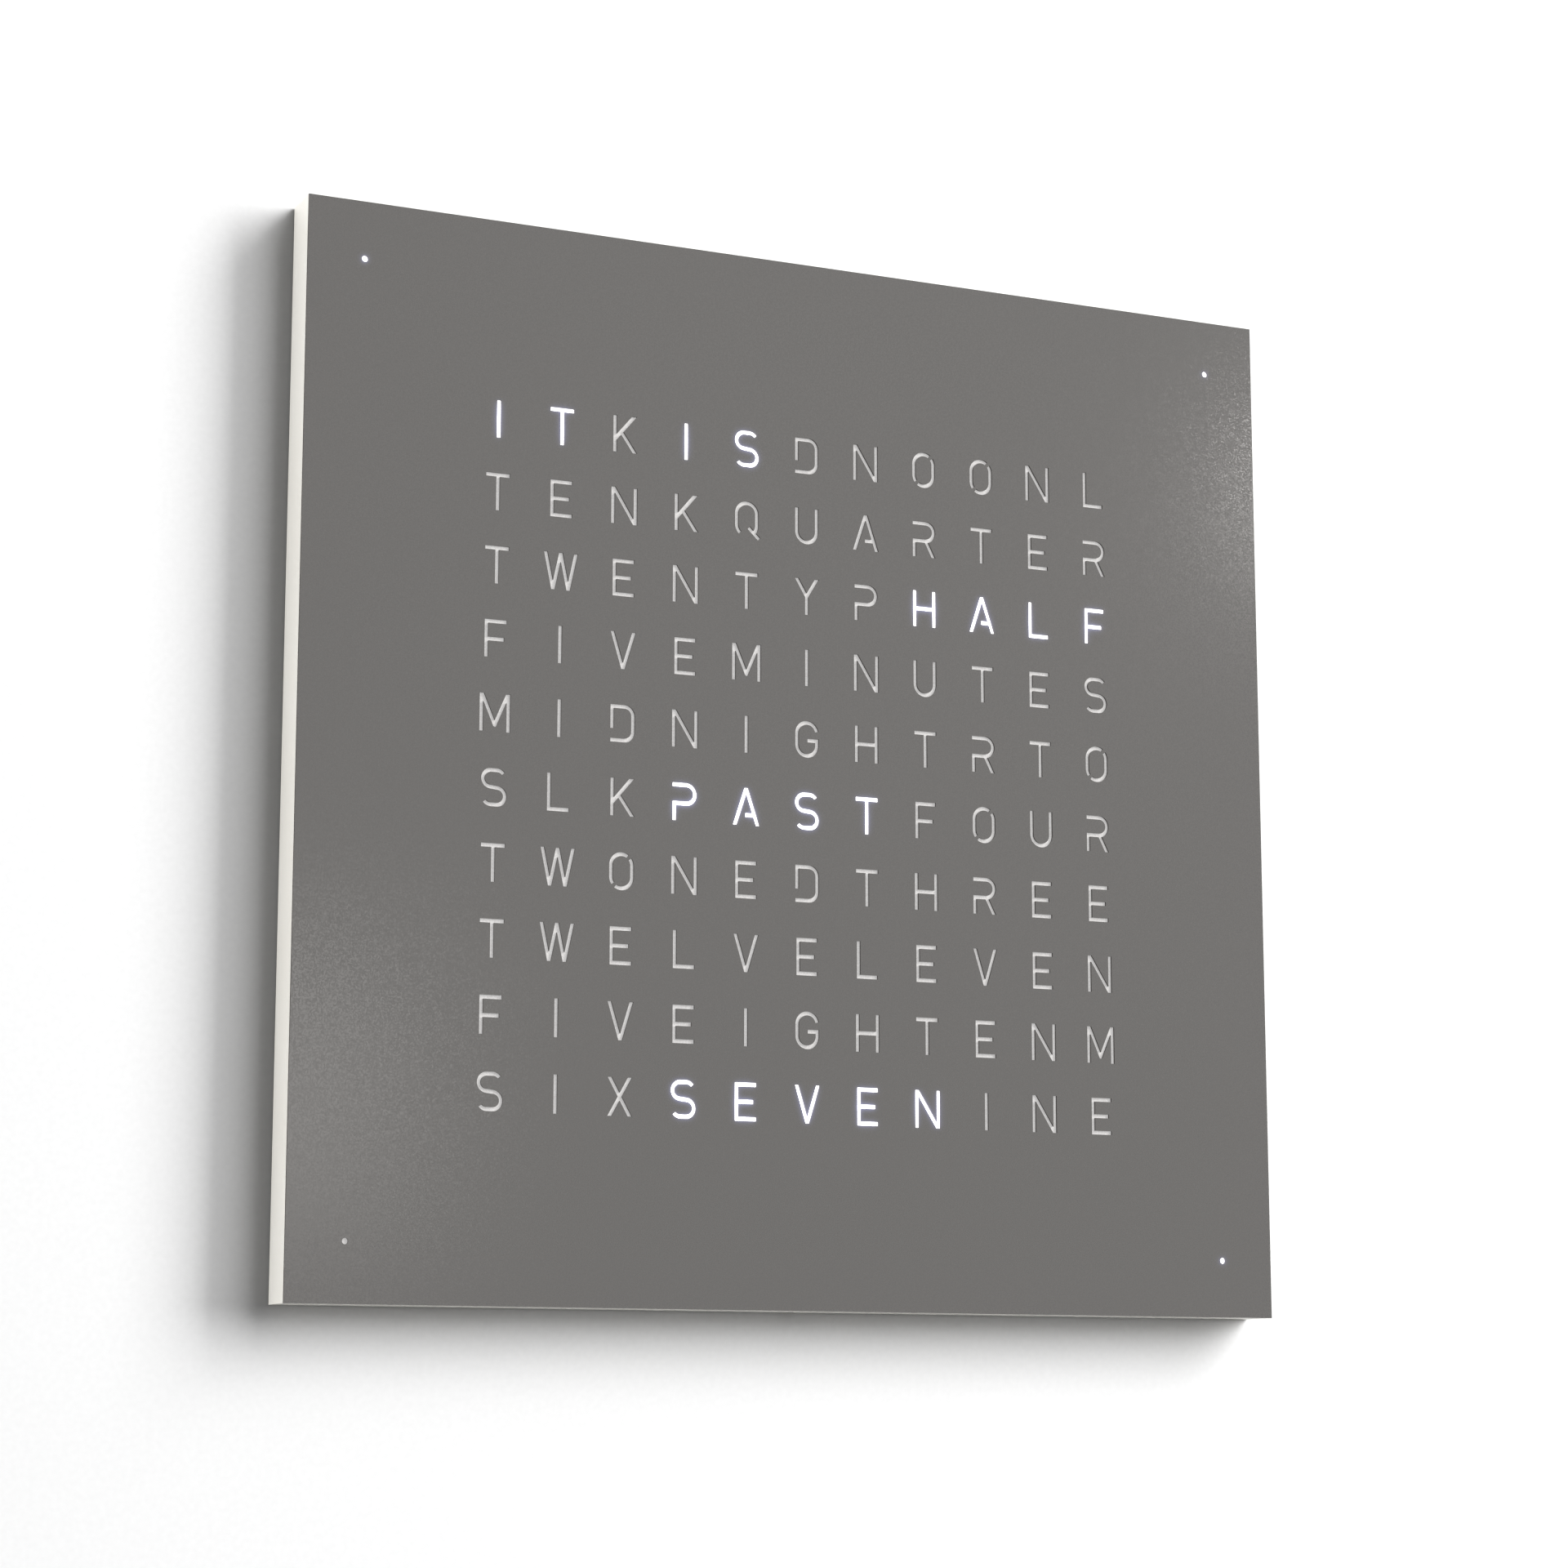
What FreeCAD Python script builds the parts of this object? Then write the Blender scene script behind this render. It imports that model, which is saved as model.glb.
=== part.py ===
"""Square wall clock that tells the time in lit words.

A thin steel cover with stencil letters is held by magnets on a shallow wooden case. Behind the letters
are an opal sheet, a grid of baffles and one LED for each letter. The electronics fill the band below.

Units are millimetres. X runs to the right and Z up, as seen from the front, and Y from the room to the
wall. The origin is the centre of the back, on the wall, so every solid has a negative or zero Y.
"""
import FreeCAD
import Part

import math
import os

Vector = FreeCAD.Vector

# ---------------- the lettering on the cover
LETTER_ROWS = (
    "ITKISDNOONL",
    "TENKQUARTER",
    "TWENTYPHALF",
    "FIVEMINUTES",
    "MIDNIGHTRTO",
    "SLKPASTFOUR",
    "TWONEDTHREE",
    "TWELVELEVEN",
    "FIVEIGHTENM",
    "SIXSEVENINE",
)
COLUMNS = len(LETTER_ROWS[0])
ROWS = len(LETTER_ROWS)
LETTER_PITCH_X = 28.2        # from one letter's centre to the next
LETTER_PITCH_Z = 31.0        # from one row's centre to the next
LETTER_HEIGHT = 15.9
STROKE = 1.65                # width of every cut
BRIDGE_DEGREES = 18.0        # gap that keeps the middle of a round letter on the plate
MINUTE_DOT_DIAMETER = 2.5
MINUTE_DOT_INSET = 24.5      # from the edges of the cover to a dot's centre

# ---------------- cover and case
SIDE_MARGIN = 84.0           # centre of the outermost letter to the side of the cover
TOP_MARGIN = 85.5            # centre of the outermost letter to the top or bottom of the cover
FACE_WIDTH = (COLUMNS - 1) * LETTER_PITCH_X + 2 * SIDE_MARGIN
FACE_HEIGHT = (ROWS - 1) * LETTER_PITCH_Z + 2 * TOP_MARGIN
CASE_DEPTH = 20.0            # wall to the front of the cover
COVER_THICKNESS = 0.8
RAIL_WIDTH = 15.0
FRONT_LIP = 10.0             # what the rebate for the opal sheet leaves of the rail
REAR_LIP = 8.0               # what the rebate for the back panel leaves of the rail
REBATE_DEPTH = 1.0
REAR_EDGE_ROUND = 0.5
PANEL_THICKNESS = 3.0
EDGE_CLEARANCE = 0.3         # loose sheets in their rebates
FIT_CLEARANCE = 0.05         # radial, around screws, magnets and bushes

# ---------------- light
SHEET_THICKNESS = 0.9
BAFFLE_DEPTH = 10.0
BAFFLE_THICKNESS = 1.5
BAFFLE_SLOT_CLEARANCE = 0.1
BOARD_THICKNESS = 1.6
LED_BOARD_BORDER = 2.5       # beyond the outermost baffles
LED_SIZE = 5.0
LED_HEIGHT = 1.6
LED_WINDOW_DIAMETER = 4.0
LED_WINDOW_DEPTH = 0.3
LED_SCREW_CELLS = ((1, 1), (5, 1), (9, 1), (1, 5), (5, 5), (9, 5), (1, 8), (5, 8), (9, 8))
LED_SCREW_OFFSET = 9.0       # above the cell's LED
MINUTE_BOARD_SIZE = 17.0
WELL_OUTER_DIAMETER = 15.0
WELL_WALL = 1.5
SENSOR_SIZE = (2.0, 1.0, 2.6)
SENSOR_CELL = (2, 0)
SENSOR_OFFSET = 6.0

# ---------------- what holds it together
MAGNET_DIAMETER = 8.0
MAGNET_HEIGHT = 3.0
MAGNET_SINK = 0.2            # below the front of the rail
MAGNET_SPREAD = 160.0        # outer magnets of each side, from its middle
PIN_DIAMETER = 3.0
PIN_LENGTH = 5.0
PIN_CLEARANCE = 0.1          # radial, in its bush
PIN_SPREAD = 190.0
BUSH_DIAMETER = 5.0
BUSH_LENGTH = 6.0
SCREW_DIAMETER = 3.0
SCREW_HEAD_DIAMETER = 5.6
SCREW_HEAD_HEIGHT = 1.5
SCREW_LENGTH = 12.0
PANEL_SCREW_INSET = 3.5      # from the edge of the panel
PANEL_SCREW_SPREADS = (50.0, 150.0)
BOLT_DIAMETER = 2.5
BOLT_HEAD_DIAMETER = 4.6
BOLT_HEAD_HEIGHT = 1.4
SPACER_DIAMETER = 5.5
NUT_WIDTH = 5.0
NUT_HEIGHT = 2.0
HANGER_SPACING = 300.0       # between the two keyholes
HANGER_WIDTH = 44.0
HANGER_HEIGHT = 34.0
HANGER_THICKNESS = 1.0
HANGER_DROP = 40.0           # top of the case to the middle of the plate
HANGER_WINDOW = (17.0, 23.0)
HANGER_SCREW_SPACING = (34.0, 24.0)
HANGER_SCREW_LENGTH = 6.0
HANGER_SCREW_HEAD_HEIGHT = 0.9
HANGER_CLEARANCE = 0.3       # around each plate in its recess
KEYHOLE_DIAMETER = 10.0
KEYHOLE_SLOT = 4.6
KEYHOLE_TRAVEL = 9.0

VENT_COUNT = 5               # on each side of the plug bay
VENT_INNER = 27.0            # middle of the clock to the first slot
VENT_PITCH = 6.0
VENT_WIDTH = 2.4
VENT_HEIGHT = 22.0

# ---------------- electronics below the letters
CONTROL_BOARD_WIDTH = 124.0
CONTROL_BOARD_HEIGHT = 42.0
CONTROL_BOARD_RISE = 6.0     # inside of the bottom rail to the board
CONTROL_NUT_GAP = 0.6        # rebate's plane to the ends of the nuts in front of the board
CONTROL_BOLT_INSET = 4.0
SOCKET_WIDTH = 9.0
SOCKET_LENGTH = 14.0
SOCKET_RISE = 32.0           # inside of the bottom rail to the mouth of the socket
SOCKET_GAP = 0.2             # socket to back panel
SOCKET_BORE = 6.4
SOCKET_BORE_DEPTH = 10.0
SOCKET_PIN_DIAMETER = 2.0
SOCKET_PIN_RECESS = 1.0
PLUG_BAY_WIDTH = 14.0
PLUG_BAY_MARGIN = 1.0        # above the mouth of the socket
CORD_GROOVE_WIDTH = 6.0
CORD_GROOVE_DEPTH = 5.5
CHIP_GAP = 2.0               # between neighbours on the board
CHIP_SIZE = 12.0
CHIP_HEIGHT = 1.4
CRYSTAL_SIZE = (11.0, 3.6, 4.6)
CRYSTAL_GAP = 3.7            # to the capacitor beside it
CELL_DIAMETER = 20.0
CELL_HEIGHT = 3.2
CELL_HOLDER_SIZE = 23.0
CELL_HOLDER_WALL = 1.2
CELL_INSET = 26.0            # right end of the board to the middle of the cell
CELL_PROUD = 1.6             # of the rim of its holder
CAPACITOR_DIAMETER = 6.3
CAPACITOR_HEIGHT = 5.8
REGULATOR_SIZE = (6.5, 2.3, 9.0)
RIBBON_WIDTH = 12.0
RIBBON_THICKNESS = 0.8
RIBBON_BEND = 2.5            # inner radius
RIBBON_PLUG_WIDTH = 15.0
RIBBON_PLUG_HEIGHT = 6.0
RIBBON_PLUG_DEPTH = 3.6      # of the plug on the control board
RIBBON_PLUG_RISE = 1.0       # foot of the LED board to its plug
RIBBON_PLUG_GAP = 6.0        # power socket to the plug beside it

# ---------------- time signal receiver beside the control board
ROD_DIAMETER = 8.0
ROD_LENGTH = 60.0
COIL_DIAMETER = 11.0
COIL_LENGTH = 22.0
ROD_DEPTH = 6.6              # back panel to the rod's axis
CLIP_LENGTH = 6.0
CLIP_WIDTH = 12.0
CLIP_WALL = 1.5              # in front of the rod
AERIAL_OFFSET = 150.0        # middle of the clock to the middle of the rod
AERIAL_RISE = 34.0           # inside of the bottom rail to the rod's axis
RADIO_BOARD_SIZE = (26.0, 16.0)
RADIO_BOARD_OFFSET = 92.0    # middle of the clock to the middle of the board
RADIO_BOARD_RISE = 26.0      # inside of the bottom rail to the middle of the board
RADIO_PAD_THICKNESS = 3.0
RADIO_PAD_BORDER = 2.0       # board beyond its pad
RADIO_CHIP_DIAMETER = 7.0
RADIO_CHIP_HEIGHT = 1.2

# ---------------- keys in the right-hand rail
KEY_NAMES = ("mode", "hour", "minute")
KEY_PITCH = 12.0
KEYS_BELOW_CENTRE = 100.0
KEY_DIAMETER = 7.0
KEY_CLEARANCE = 0.1          # radial
KEY_PROUD = 0.8
KEY_TRAVEL = 0.5
KEY_FLANGE_DIAMETER = 9.0
KEY_FLANGE_THICKNESS = 1.0
KEY_DIMPLE_DIAMETER = 4.4
KEY_DIMPLE_DEPTH = 0.3
KEY_WEB = 4.0                # what the pocket leaves of the rail
KEY_POCKET_WIDTH = 10.0
KEY_POCKET_MARGIN = 6.0
KEY_BOARD_END = 7.0          # part of the board on each shoulder of the pocket
KEY_SCREW_LENGTH = 5.0       # in the wood
KEY_SCREW_SLOT = 0.6
SWITCH_SIZE = 6.0
SWITCH_HEIGHT = 3.5
PLUNGER_DIAMETER = 3.4
PLUNGER_PROUD = 0.9
PLUNGER_SUNK = 0.6
PLUNGER_CLEARANCE = 0.1      # radial and at the end of the stroke

# ---------------- leads
LEAD_DIAMETER = 1.6
LEAD_BEND_SHARE = 0.45       # of the shorter run beside a bend

# ---------------- planes and edges that follow from the sizes
COVER_FRONT = -CASE_DEPTH
CASE_FRONT = COVER_FRONT + COVER_THICKNESS
LEDGE = CASE_FRONT + REBATE_DEPTH
PANEL_INNER = -PANEL_THICKNESS
LED_BOARD_FRONT = LEDGE + BAFFLE_DEPTH
LED_BOARD_REAR = LED_BOARD_FRONT + BOARD_THICKNESS
CONTROL_FRONT = LEDGE + CONTROL_NUT_GAP + NUT_HEIGHT
CONTROL_REAR = CONTROL_FRONT + BOARD_THICKNESS
HALF_WIDTH = FACE_WIDTH / 2
HALF_HEIGHT = FACE_HEIGHT / 2
POCKET_X = HALF_WIDTH - RAIL_WIDTH
POCKET_Z = HALF_HEIGHT - RAIL_WIDTH
PANEL_X = HALF_WIDTH - REAR_LIP - EDGE_CLEARANCE
PANEL_Z = HALF_HEIGHT - REAR_LIP - EDGE_CLEARANCE
GRID_X = COLUMNS * LETTER_PITCH_X / 2
GRID_Z = ROWS * LETTER_PITCH_Z / 2
LED_BOARD_X = GRID_X + LED_BOARD_BORDER
LED_BOARD_Z = GRID_Z + LED_BOARD_BORDER
LIP_MIDDLE = FRONT_LIP / 2
BOARD_BOTTOM = -POCKET_Z + CONTROL_BOARD_RISE
BOARD_TOP = BOARD_BOTTOM + CONTROL_BOARD_HEIGHT
SOCKET_MOUTH = -POCKET_Z + SOCKET_RISE
HANGER_Z = HALF_HEIGHT - HANGER_DROP
BOARD_MIDDLE = (BOARD_BOTTOM + BOARD_TOP) / 2
AERIAL_Z = -POCKET_Z + AERIAL_RISE
RADIO_BOARD_Z = -POCKET_Z + RADIO_BOARD_RISE
KEY_Y = CASE_FRONT / 2
MINUTE_X = HALF_WIDTH - MINUTE_DOT_INSET
MINUTE_Z = HALF_HEIGHT - MINUTE_DOT_INSET
FOUR_CORNERS = ((-1, 1), (1, 1), (1, -1), (-1, -1))


# ---------------- basic solids
def save(name, shape):
    """Writes one node's solids to its file."""
    shape.exportStep(os.path.join("parts", name + ".step"))


def group(solids):
    return Part.makeCompound(list(solids))


def block(x, y, z):
    """Box between two limits along each axis."""
    size = Vector(x[1] - x[0], y[1] - y[0], z[1] - z[0])
    return Part.makeBox(size.x, size.y, size.z, Vector(x[0], y[0], z[0]))


def bar(centre_x, centre_z, width, height, y):
    """Box of a given width and height around a point of the face, between two depths."""
    half_x, half_z = width / 2, height / 2
    return block((centre_x - half_x, centre_x + half_x), y, (centre_z - half_z, centre_z + half_z))


def disc(x, z, diameter, y):
    """Cylinder along Y between two depths."""
    return Part.makeCylinder(diameter / 2, y[1] - y[0], Vector(x, y[0], z), Vector(0, 1, 0))


def rod(diameter, x, y, z):
    """Cylinder along X between two limits."""
    return Part.makeCylinder(diameter / 2, x[1] - x[0], Vector(x[0], y, z), Vector(1, 0, 0))


def ring(x, z, outer, inner, y):
    return disc(x, z, outer, y).cut(disc(x, z, inner, y))


def moved(shape, x, y, z):
    copy = shape.copy()
    copy.translate(Vector(x, y, z))
    return copy


def spread(shape, places):
    """One copy of a solid at each (x, z)."""
    return group(moved(shape, x, 0, z) for x, z in places)


def flat_head(head_diameter, head_height, shank_diameter, y_tip):
    """Countersunk screw along Y with its head flush with the wall plane and a cross recess in it."""
    head = Part.makeCone(
        shank_diameter / 2, head_diameter / 2, head_height, Vector(0, -head_height, 0), Vector(0, 1, 0)
    )
    shank = disc(0, 0, shank_diameter, (y_tip, -head_height))
    recess_depth = head_height * 0.6
    recess_length = head_diameter * 0.55
    recess_width = head_diameter * 0.14
    cross = bar(0, 0, recess_length, recess_width, (-recess_depth, 0))
    cross = cross.fuse(bar(0, 0, recess_width, recess_length, (-recess_depth, 0)))
    return head.fuse(shank).removeSplitter().cut(cross)


def countersunk_hole(head_diameter, head_height, hole_diameter, y_end):
    """What a flat head screw needs removed from the wood or sheet around it."""
    cone = Part.makeCone(
        hole_diameter / 2,
        head_diameter / 2 + FIT_CLEARANCE,
        head_height,
        Vector(0, -head_height, 0),
        Vector(0, 1, 0),
    )
    return cone.fuse(disc(0, 0, hole_diameter, (y_end, -head_height)))


def lead(points):
    """Round lead along straight runs joined by tangent arcs, each as large as its two runs allow."""
    corners = [Vector(*p) for p in points]
    edges = []
    start = corners[0]
    for before, corner, after in zip(corners, corners[1:], corners[2:]):
        run_in, run_out = corner - before, after - corner
        reach = LEAD_BEND_SHARE * min(run_in.Length, run_out.Length)
        leave = corner - run_in.normalize() * reach
        join = corner + run_out.normalize() * reach
        half_turn = run_in.getAngle(run_out) / 2
        radius = reach / math.tan(half_turn)
        inward = (run_out - run_in).normalize()
        middle = corner + inward * (radius / math.cos(half_turn) - radius)
        edges.append(Part.LineSegment(start, leave).toShape())
        edges.append(Part.Arc(leave, middle, join).toShape())
        start = join
    edges.append(Part.LineSegment(start, corners[-1]).toShape())
    direction = corners[1] - corners[0]
    section = Part.Wire(Part.makeCircle(LEAD_DIAMETER / 2, corners[0], direction))
    return Part.Wire(edges).makePipeShell([section], True, False)


# ---------------- stencil letters, drawn on a grid of sixteenths of their height
UNIT = LETTER_HEIGHT / 16
HALF_CAP = 8.0
HALF_STROKE = STROKE / UNIT / 2
LINE_TOP = HALF_CAP - HALF_STROKE         # centre line of the top stroke
ROUND_HALF = 4.7                          # half width of a round letter's centre line
ROUND_CENTRE = LINE_TOP - ROUND_HALF      # height of the centre of its top arc
OPENING = 12.0                            # degrees from level to the end of an open arc, as in C
BOWL_FOOT = -0.7                          # lower line of the bowl of P and R
CORNER = 3.9                              # corner radius of D
SPINE_REACH = 1.3                         # half length of the straights of S
SPINE_RADIUS = 3.5                        # radius of its bowls


def cut(outline):
    """Cut of unit depth from a closed loop of edges on the face."""
    return Part.Face(Part.Wire(outline)).extrude(Vector(0, 1, 0))


def line(x0, z0, x1, z1):
    """Straight stroke with square ends."""
    start, end = Vector(x0, 0, z0), Vector(x1, 0, z1)
    along = (end - start).normalize()
    across = Vector(-along.z, 0, along.x) * HALF_STROKE
    corners = [start + across, end + across, end - across, start - across, start + across]
    corners = [corner * UNIT for corner in corners]
    return cut([Part.LineSegment(a, b).toShape() for a, b in zip(corners, corners[1:])])


def arc(centre_x, centre_z, radius, start, end):
    """Stroke along an arc. Angles are in degrees, anticlockwise from the right."""

    def point(r, degrees):
        turn = math.radians(degrees)
        return Vector(centre_x + r * math.cos(turn), 0, centre_z + r * math.sin(turn)) * UNIT

    outer, inner = radius + HALF_STROKE, radius - HALF_STROKE
    half = (start + end) / 2
    return cut(
        [
            Part.Arc(point(outer, start), point(outer, half), point(outer, end)).toShape(),
            Part.LineSegment(point(outer, end), point(inner, end)).toShape(),
            Part.Arc(point(inner, end), point(inner, half), point(inner, start)).toShape(),
            Part.LineSegment(point(inner, start), point(outer, start)).toShape(),
        ]
    )


def stem(x):
    return line(x, -HALF_CAP, x, HALF_CAP)


def slant(x0, z0, x1, z1):
    """Diagonal stroke. An end at the top or foot of the letter runs past it, to be trimmed level."""
    along = Vector(x1 - x0, 0, z1 - z0).normalize()
    start, end = Vector(x0, 0, z0), Vector(x1, 0, z1)
    if abs(z0) == HALF_CAP:
        start -= along * 2 * HALF_STROKE
    if abs(z1) == HALF_CAP:
        end += along * 2 * HALF_STROKE
    return line(start.x, start.z, end.x, end.z)


def elbow(x, z):
    """Round join between strokes that end at one point."""
    return disc(x * UNIT, z * UNIT, STROKE, (0, 1))


def within(half_width, strokes):
    """Strokes cut off level with the outer sides of a letter's stems."""
    limit = (half_width + HALF_STROKE) * UNIT
    frame = block((-limit, limit), (0, 1), (-HALF_CAP * UNIT, HALF_CAP * UNIT))
    return [stroke.common(frame) for stroke in strokes]


def round_letter(first, last, sides):
    """Arcs at the top and bottom between two angles, with the straight sides given as signs of x."""
    strokes = [line(s * ROUND_HALF, -ROUND_CENTRE, s * ROUND_HALF, ROUND_CENTRE) for s in sides]
    strokes += [arc(0, ROUND_CENTRE, ROUND_HALF, a, b) for a, b in first]
    strokes += [arc(0, -ROUND_CENTRE, ROUND_HALF, a, b) for a, b in last]
    return strokes


def letter_o():
    gap = 45.0 - BRIDGE_DEGREES / 2, 45.0 + BRIDGE_DEGREES / 2
    top = ((0, gap[0]), (gap[1], 180))
    bottom = ((180, 180 + gap[0]), (180 + gap[1], 360))
    return round_letter(top, bottom, (-1, 1))


def letter_q():
    top = ((0, 180),)
    bottom = ((180, 228), (318, 360))
    tail = line(0.9, -3.5, 5.8, -8.2)
    return round_letter(top, bottom, (-1, 1)) + [tail]


def letter_c():
    return round_letter(((OPENING, 180),), ((180, 360 - OPENING),), (-1,))


def letter_g():
    level = -0.5
    spur = line(ROUND_HALF, level + HALF_STROKE, ROUND_HALF, -ROUND_CENTRE)
    bowl = round_letter(((OPENING, 180),), ((180, 360),), (-1,))
    return bowl + [spur, line(0.2, level, ROUND_HALF, level)]


def letter_u():
    sides = [line(s * ROUND_HALF, -ROUND_CENTRE, s * ROUND_HALF, HALF_CAP) for s in (-1, 1)]
    return sides + [arc(0, -ROUND_CENTRE, ROUND_HALF, 180, 360)]


def letter_d():
    left, right = -ROUND_HALF, ROUND_HALF
    middle = right - CORNER
    edge = left - HALF_STROKE
    side = LINE_TOP - CORNER
    return [
        line(left, -2.3, left, HALF_CAP),
        line(edge, LINE_TOP, middle, LINE_TOP),
        line(edge, -LINE_TOP, middle, -LINE_TOP),
        arc(middle, side, CORNER, 0, 90),
        arc(middle, -side, CORNER, 270, 360),
        line(right, -side, right, side),
    ]


def letter_p():
    radius = (LINE_TOP - BOWL_FOOT) / 2
    left = -ROUND_HALF
    middle = ROUND_HALF - radius
    return [
        line(left - HALF_STROKE, LINE_TOP, middle, LINE_TOP),
        arc(middle, LINE_TOP - radius, radius, -90, 90),
        line(left - HALF_STROKE, BOWL_FOOT, middle, BOWL_FOOT),
        line(left, -HALF_CAP, left, BOWL_FOOT),
    ]


def letter_r():
    return letter_p() + [slant(0.9, BOWL_FOOT, ROUND_HALF - 0.1, -HALF_CAP)]


def letter_s():
    """Two bowls joined by the line that touches both of them."""
    reach, radius = SPINE_REACH, SPINE_RADIUS
    rise = LINE_TOP - radius
    distance = math.hypot(reach, rise)
    lean = math.asin(radius / distance)
    turn = math.atan2(rise, -reach) + lean
    touch_length = math.sqrt(distance**2 - radius**2)
    touch = touch_length * math.cos(turn), touch_length * math.sin(turn)
    bowl_end = math.degrees(math.atan2(touch[1] - rise, touch[0] + reach)) % 360
    strokes = [line(-touch[0], -touch[1], touch[0], touch[1])]
    for side in (1, -1):
        shift = 0 if side == 1 else 180
        strokes += [
            line(-side * reach, side * LINE_TOP, side * reach, side * LINE_TOP),
            arc(side * reach, side * rise, radius, 38 + shift, 90 + shift),
            arc(-side * reach, side * rise, radius, 90 + shift, bowl_end + shift),
        ]
    return strokes


def letter_m():
    side, point = 5.9, -5.2
    strokes = [stem(-side), stem(side), elbow(0, point)]
    strokes += [slant(sign * (side - 0.2), HALF_CAP, 0, point) for sign in (-1, 1)]
    return within(side, strokes)


def letter_strokes():
    """Centre lines of every letter that the cover needs, around the letter's own centre."""
    top, foot = HALF_CAP, -HALF_CAP
    return {
        "A": [
            slant(0, top, -5.3, foot),
            slant(0, top, 5.3, foot),
            line(-0.5, -3.6, 3.9, -3.6),
        ],
        "C": letter_c(),
        "D": letter_d(),
        "E": [
            stem(-4.2),
            line(-4.2, LINE_TOP, 4.8, LINE_TOP),
            line(-4.2, 0, 3.5, 0),
            line(-4.2, -LINE_TOP, 4.8, -LINE_TOP),
        ],
        "F": [stem(-4.2), line(-4.2, LINE_TOP, 4.8, LINE_TOP), line(-4.2, -0.3, 3.6, -0.3)],
        "G": letter_g(),
        "H": [stem(-ROUND_HALF), stem(ROUND_HALF), line(-ROUND_HALF, 0, ROUND_HALF, 0)],
        "I": [stem(0)],
        "K": [stem(-4.4), slant(-4.4, -2.4, 4.4, top), slant(-1.5, 0.8, 4.7, foot)],
        "L": [stem(-4.2), line(-4.2, -LINE_TOP, 4.8, -LINE_TOP)],
        "M": letter_m(),
        "N": within(5.1, [stem(-5.1), stem(5.1), slant(-5.0, top, 5.0, foot)]),
        "O": letter_o(),
        "P": letter_p(),
        "Q": letter_q(),
        "R": letter_r(),
        "S": letter_s(),
        "T": [line(0, foot, 0, LINE_TOP), line(-5.3, LINE_TOP, 5.3, LINE_TOP)],
        "U": letter_u(),
        "V": [slant(-4.9, top, 0, foot), slant(4.9, top, 0, foot)],
        "W": [
            slant(-6.8, top, -3.4, foot),
            slant(-3.4, foot, 0, top),
            slant(0, top, 3.4, foot),
            slant(3.4, foot, 6.8, top),
        ],
        "X": [slant(-4.5, top, 4.5, foot), slant(-4.5, foot, 4.5, top)],
        "Y": [line(0, foot, 0, 0), slant(-4.8, top, 0, 0), slant(4.8, top, 0, 0), elbow(0, 0)],
    }


def letter_outlines():
    """Closed outlines of each letter's cuts on the front of the cover."""
    outlines = {}
    for letter, strokes in letter_strokes().items():
        tail_room = 2 * HALF_STROKE if letter == "Q" else 0.0
        foot, top = (-HALF_CAP - tail_room) * UNIT, HALF_CAP * UNIT
        frame = block((-LETTER_PITCH_X / 2, LETTER_PITCH_X / 2), (0, 1), (foot, top))
        cuts = strokes[0].multiFuse(strokes[1:]) if len(strokes) > 1 else strokes[0]
        cuts = cuts.common(frame).removeSplitter()
        front = [f for f in cuts.Faces if abs(f.CenterOfMass.y) < 1e-6]
        outlines[letter] = [face.OuterWire for face in front]
    return outlines


def letter_centre(column, row):
    x = (column - (COLUMNS - 1) / 2) * LETTER_PITCH_X
    z = ((ROWS - 1) / 2 - row) * LETTER_PITCH_Z
    return x, z


def all_cells():
    return [letter_centre(column, row) for row in range(ROWS) for column in range(COLUMNS)]


# ---------------- places that repeat
def magnet_places():
    along = (-MAGNET_SPREAD, 0.0, MAGNET_SPREAD)
    side = HALF_WIDTH - LIP_MIDDLE
    end = HALF_HEIGHT - LIP_MIDDLE
    return [(s * side, a) for s in (-1, 1) for a in along] + [(a, s * end) for s in (-1, 1) for a in along]


def pin_places():
    return [(sx * PIN_SPREAD, sz * (HALF_HEIGHT - LIP_MIDDLE)) for sx, sz in FOUR_CORNERS]


def panel_screw_places():
    along = [s * a for a in PANEL_SCREW_SPREADS for s in (-1, 1)]
    side = PANEL_X - PANEL_SCREW_INSET
    end = PANEL_Z - PANEL_SCREW_INSET
    return [(s * side, a) for s in (-1, 1) for a in along] + [(a, s * end) for s in (-1, 1) for a in along]


def led_bolt_places():
    centres = [letter_centre(*cell) for cell in LED_SCREW_CELLS]
    return [(x, z + LED_SCREW_OFFSET) for x, z in centres]


def control_bolt_places():
    x = CONTROL_BOARD_WIDTH / 2 - CONTROL_BOLT_INSET
    low, high = BOARD_BOTTOM + CONTROL_BOLT_INSET, BOARD_TOP - CONTROL_BOLT_INSET
    return [(sx * x, z) for sx in (-1, 1) for z in (low, high)]


def hanger_screw_places():
    dx, dz = HANGER_SCREW_SPACING[0] / 2, HANGER_SCREW_SPACING[1] / 2
    centres = [s * HANGER_SPACING / 2 for s in (-1, 1)]
    return [(x + sx * dx, HANGER_Z + sz * dz) for x in centres for sx, sz in FOUR_CORNERS]


def minute_places():
    return [(sx * MINUTE_X, sz * MINUTE_Z) for sx, sz in FOUR_CORNERS]


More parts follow.
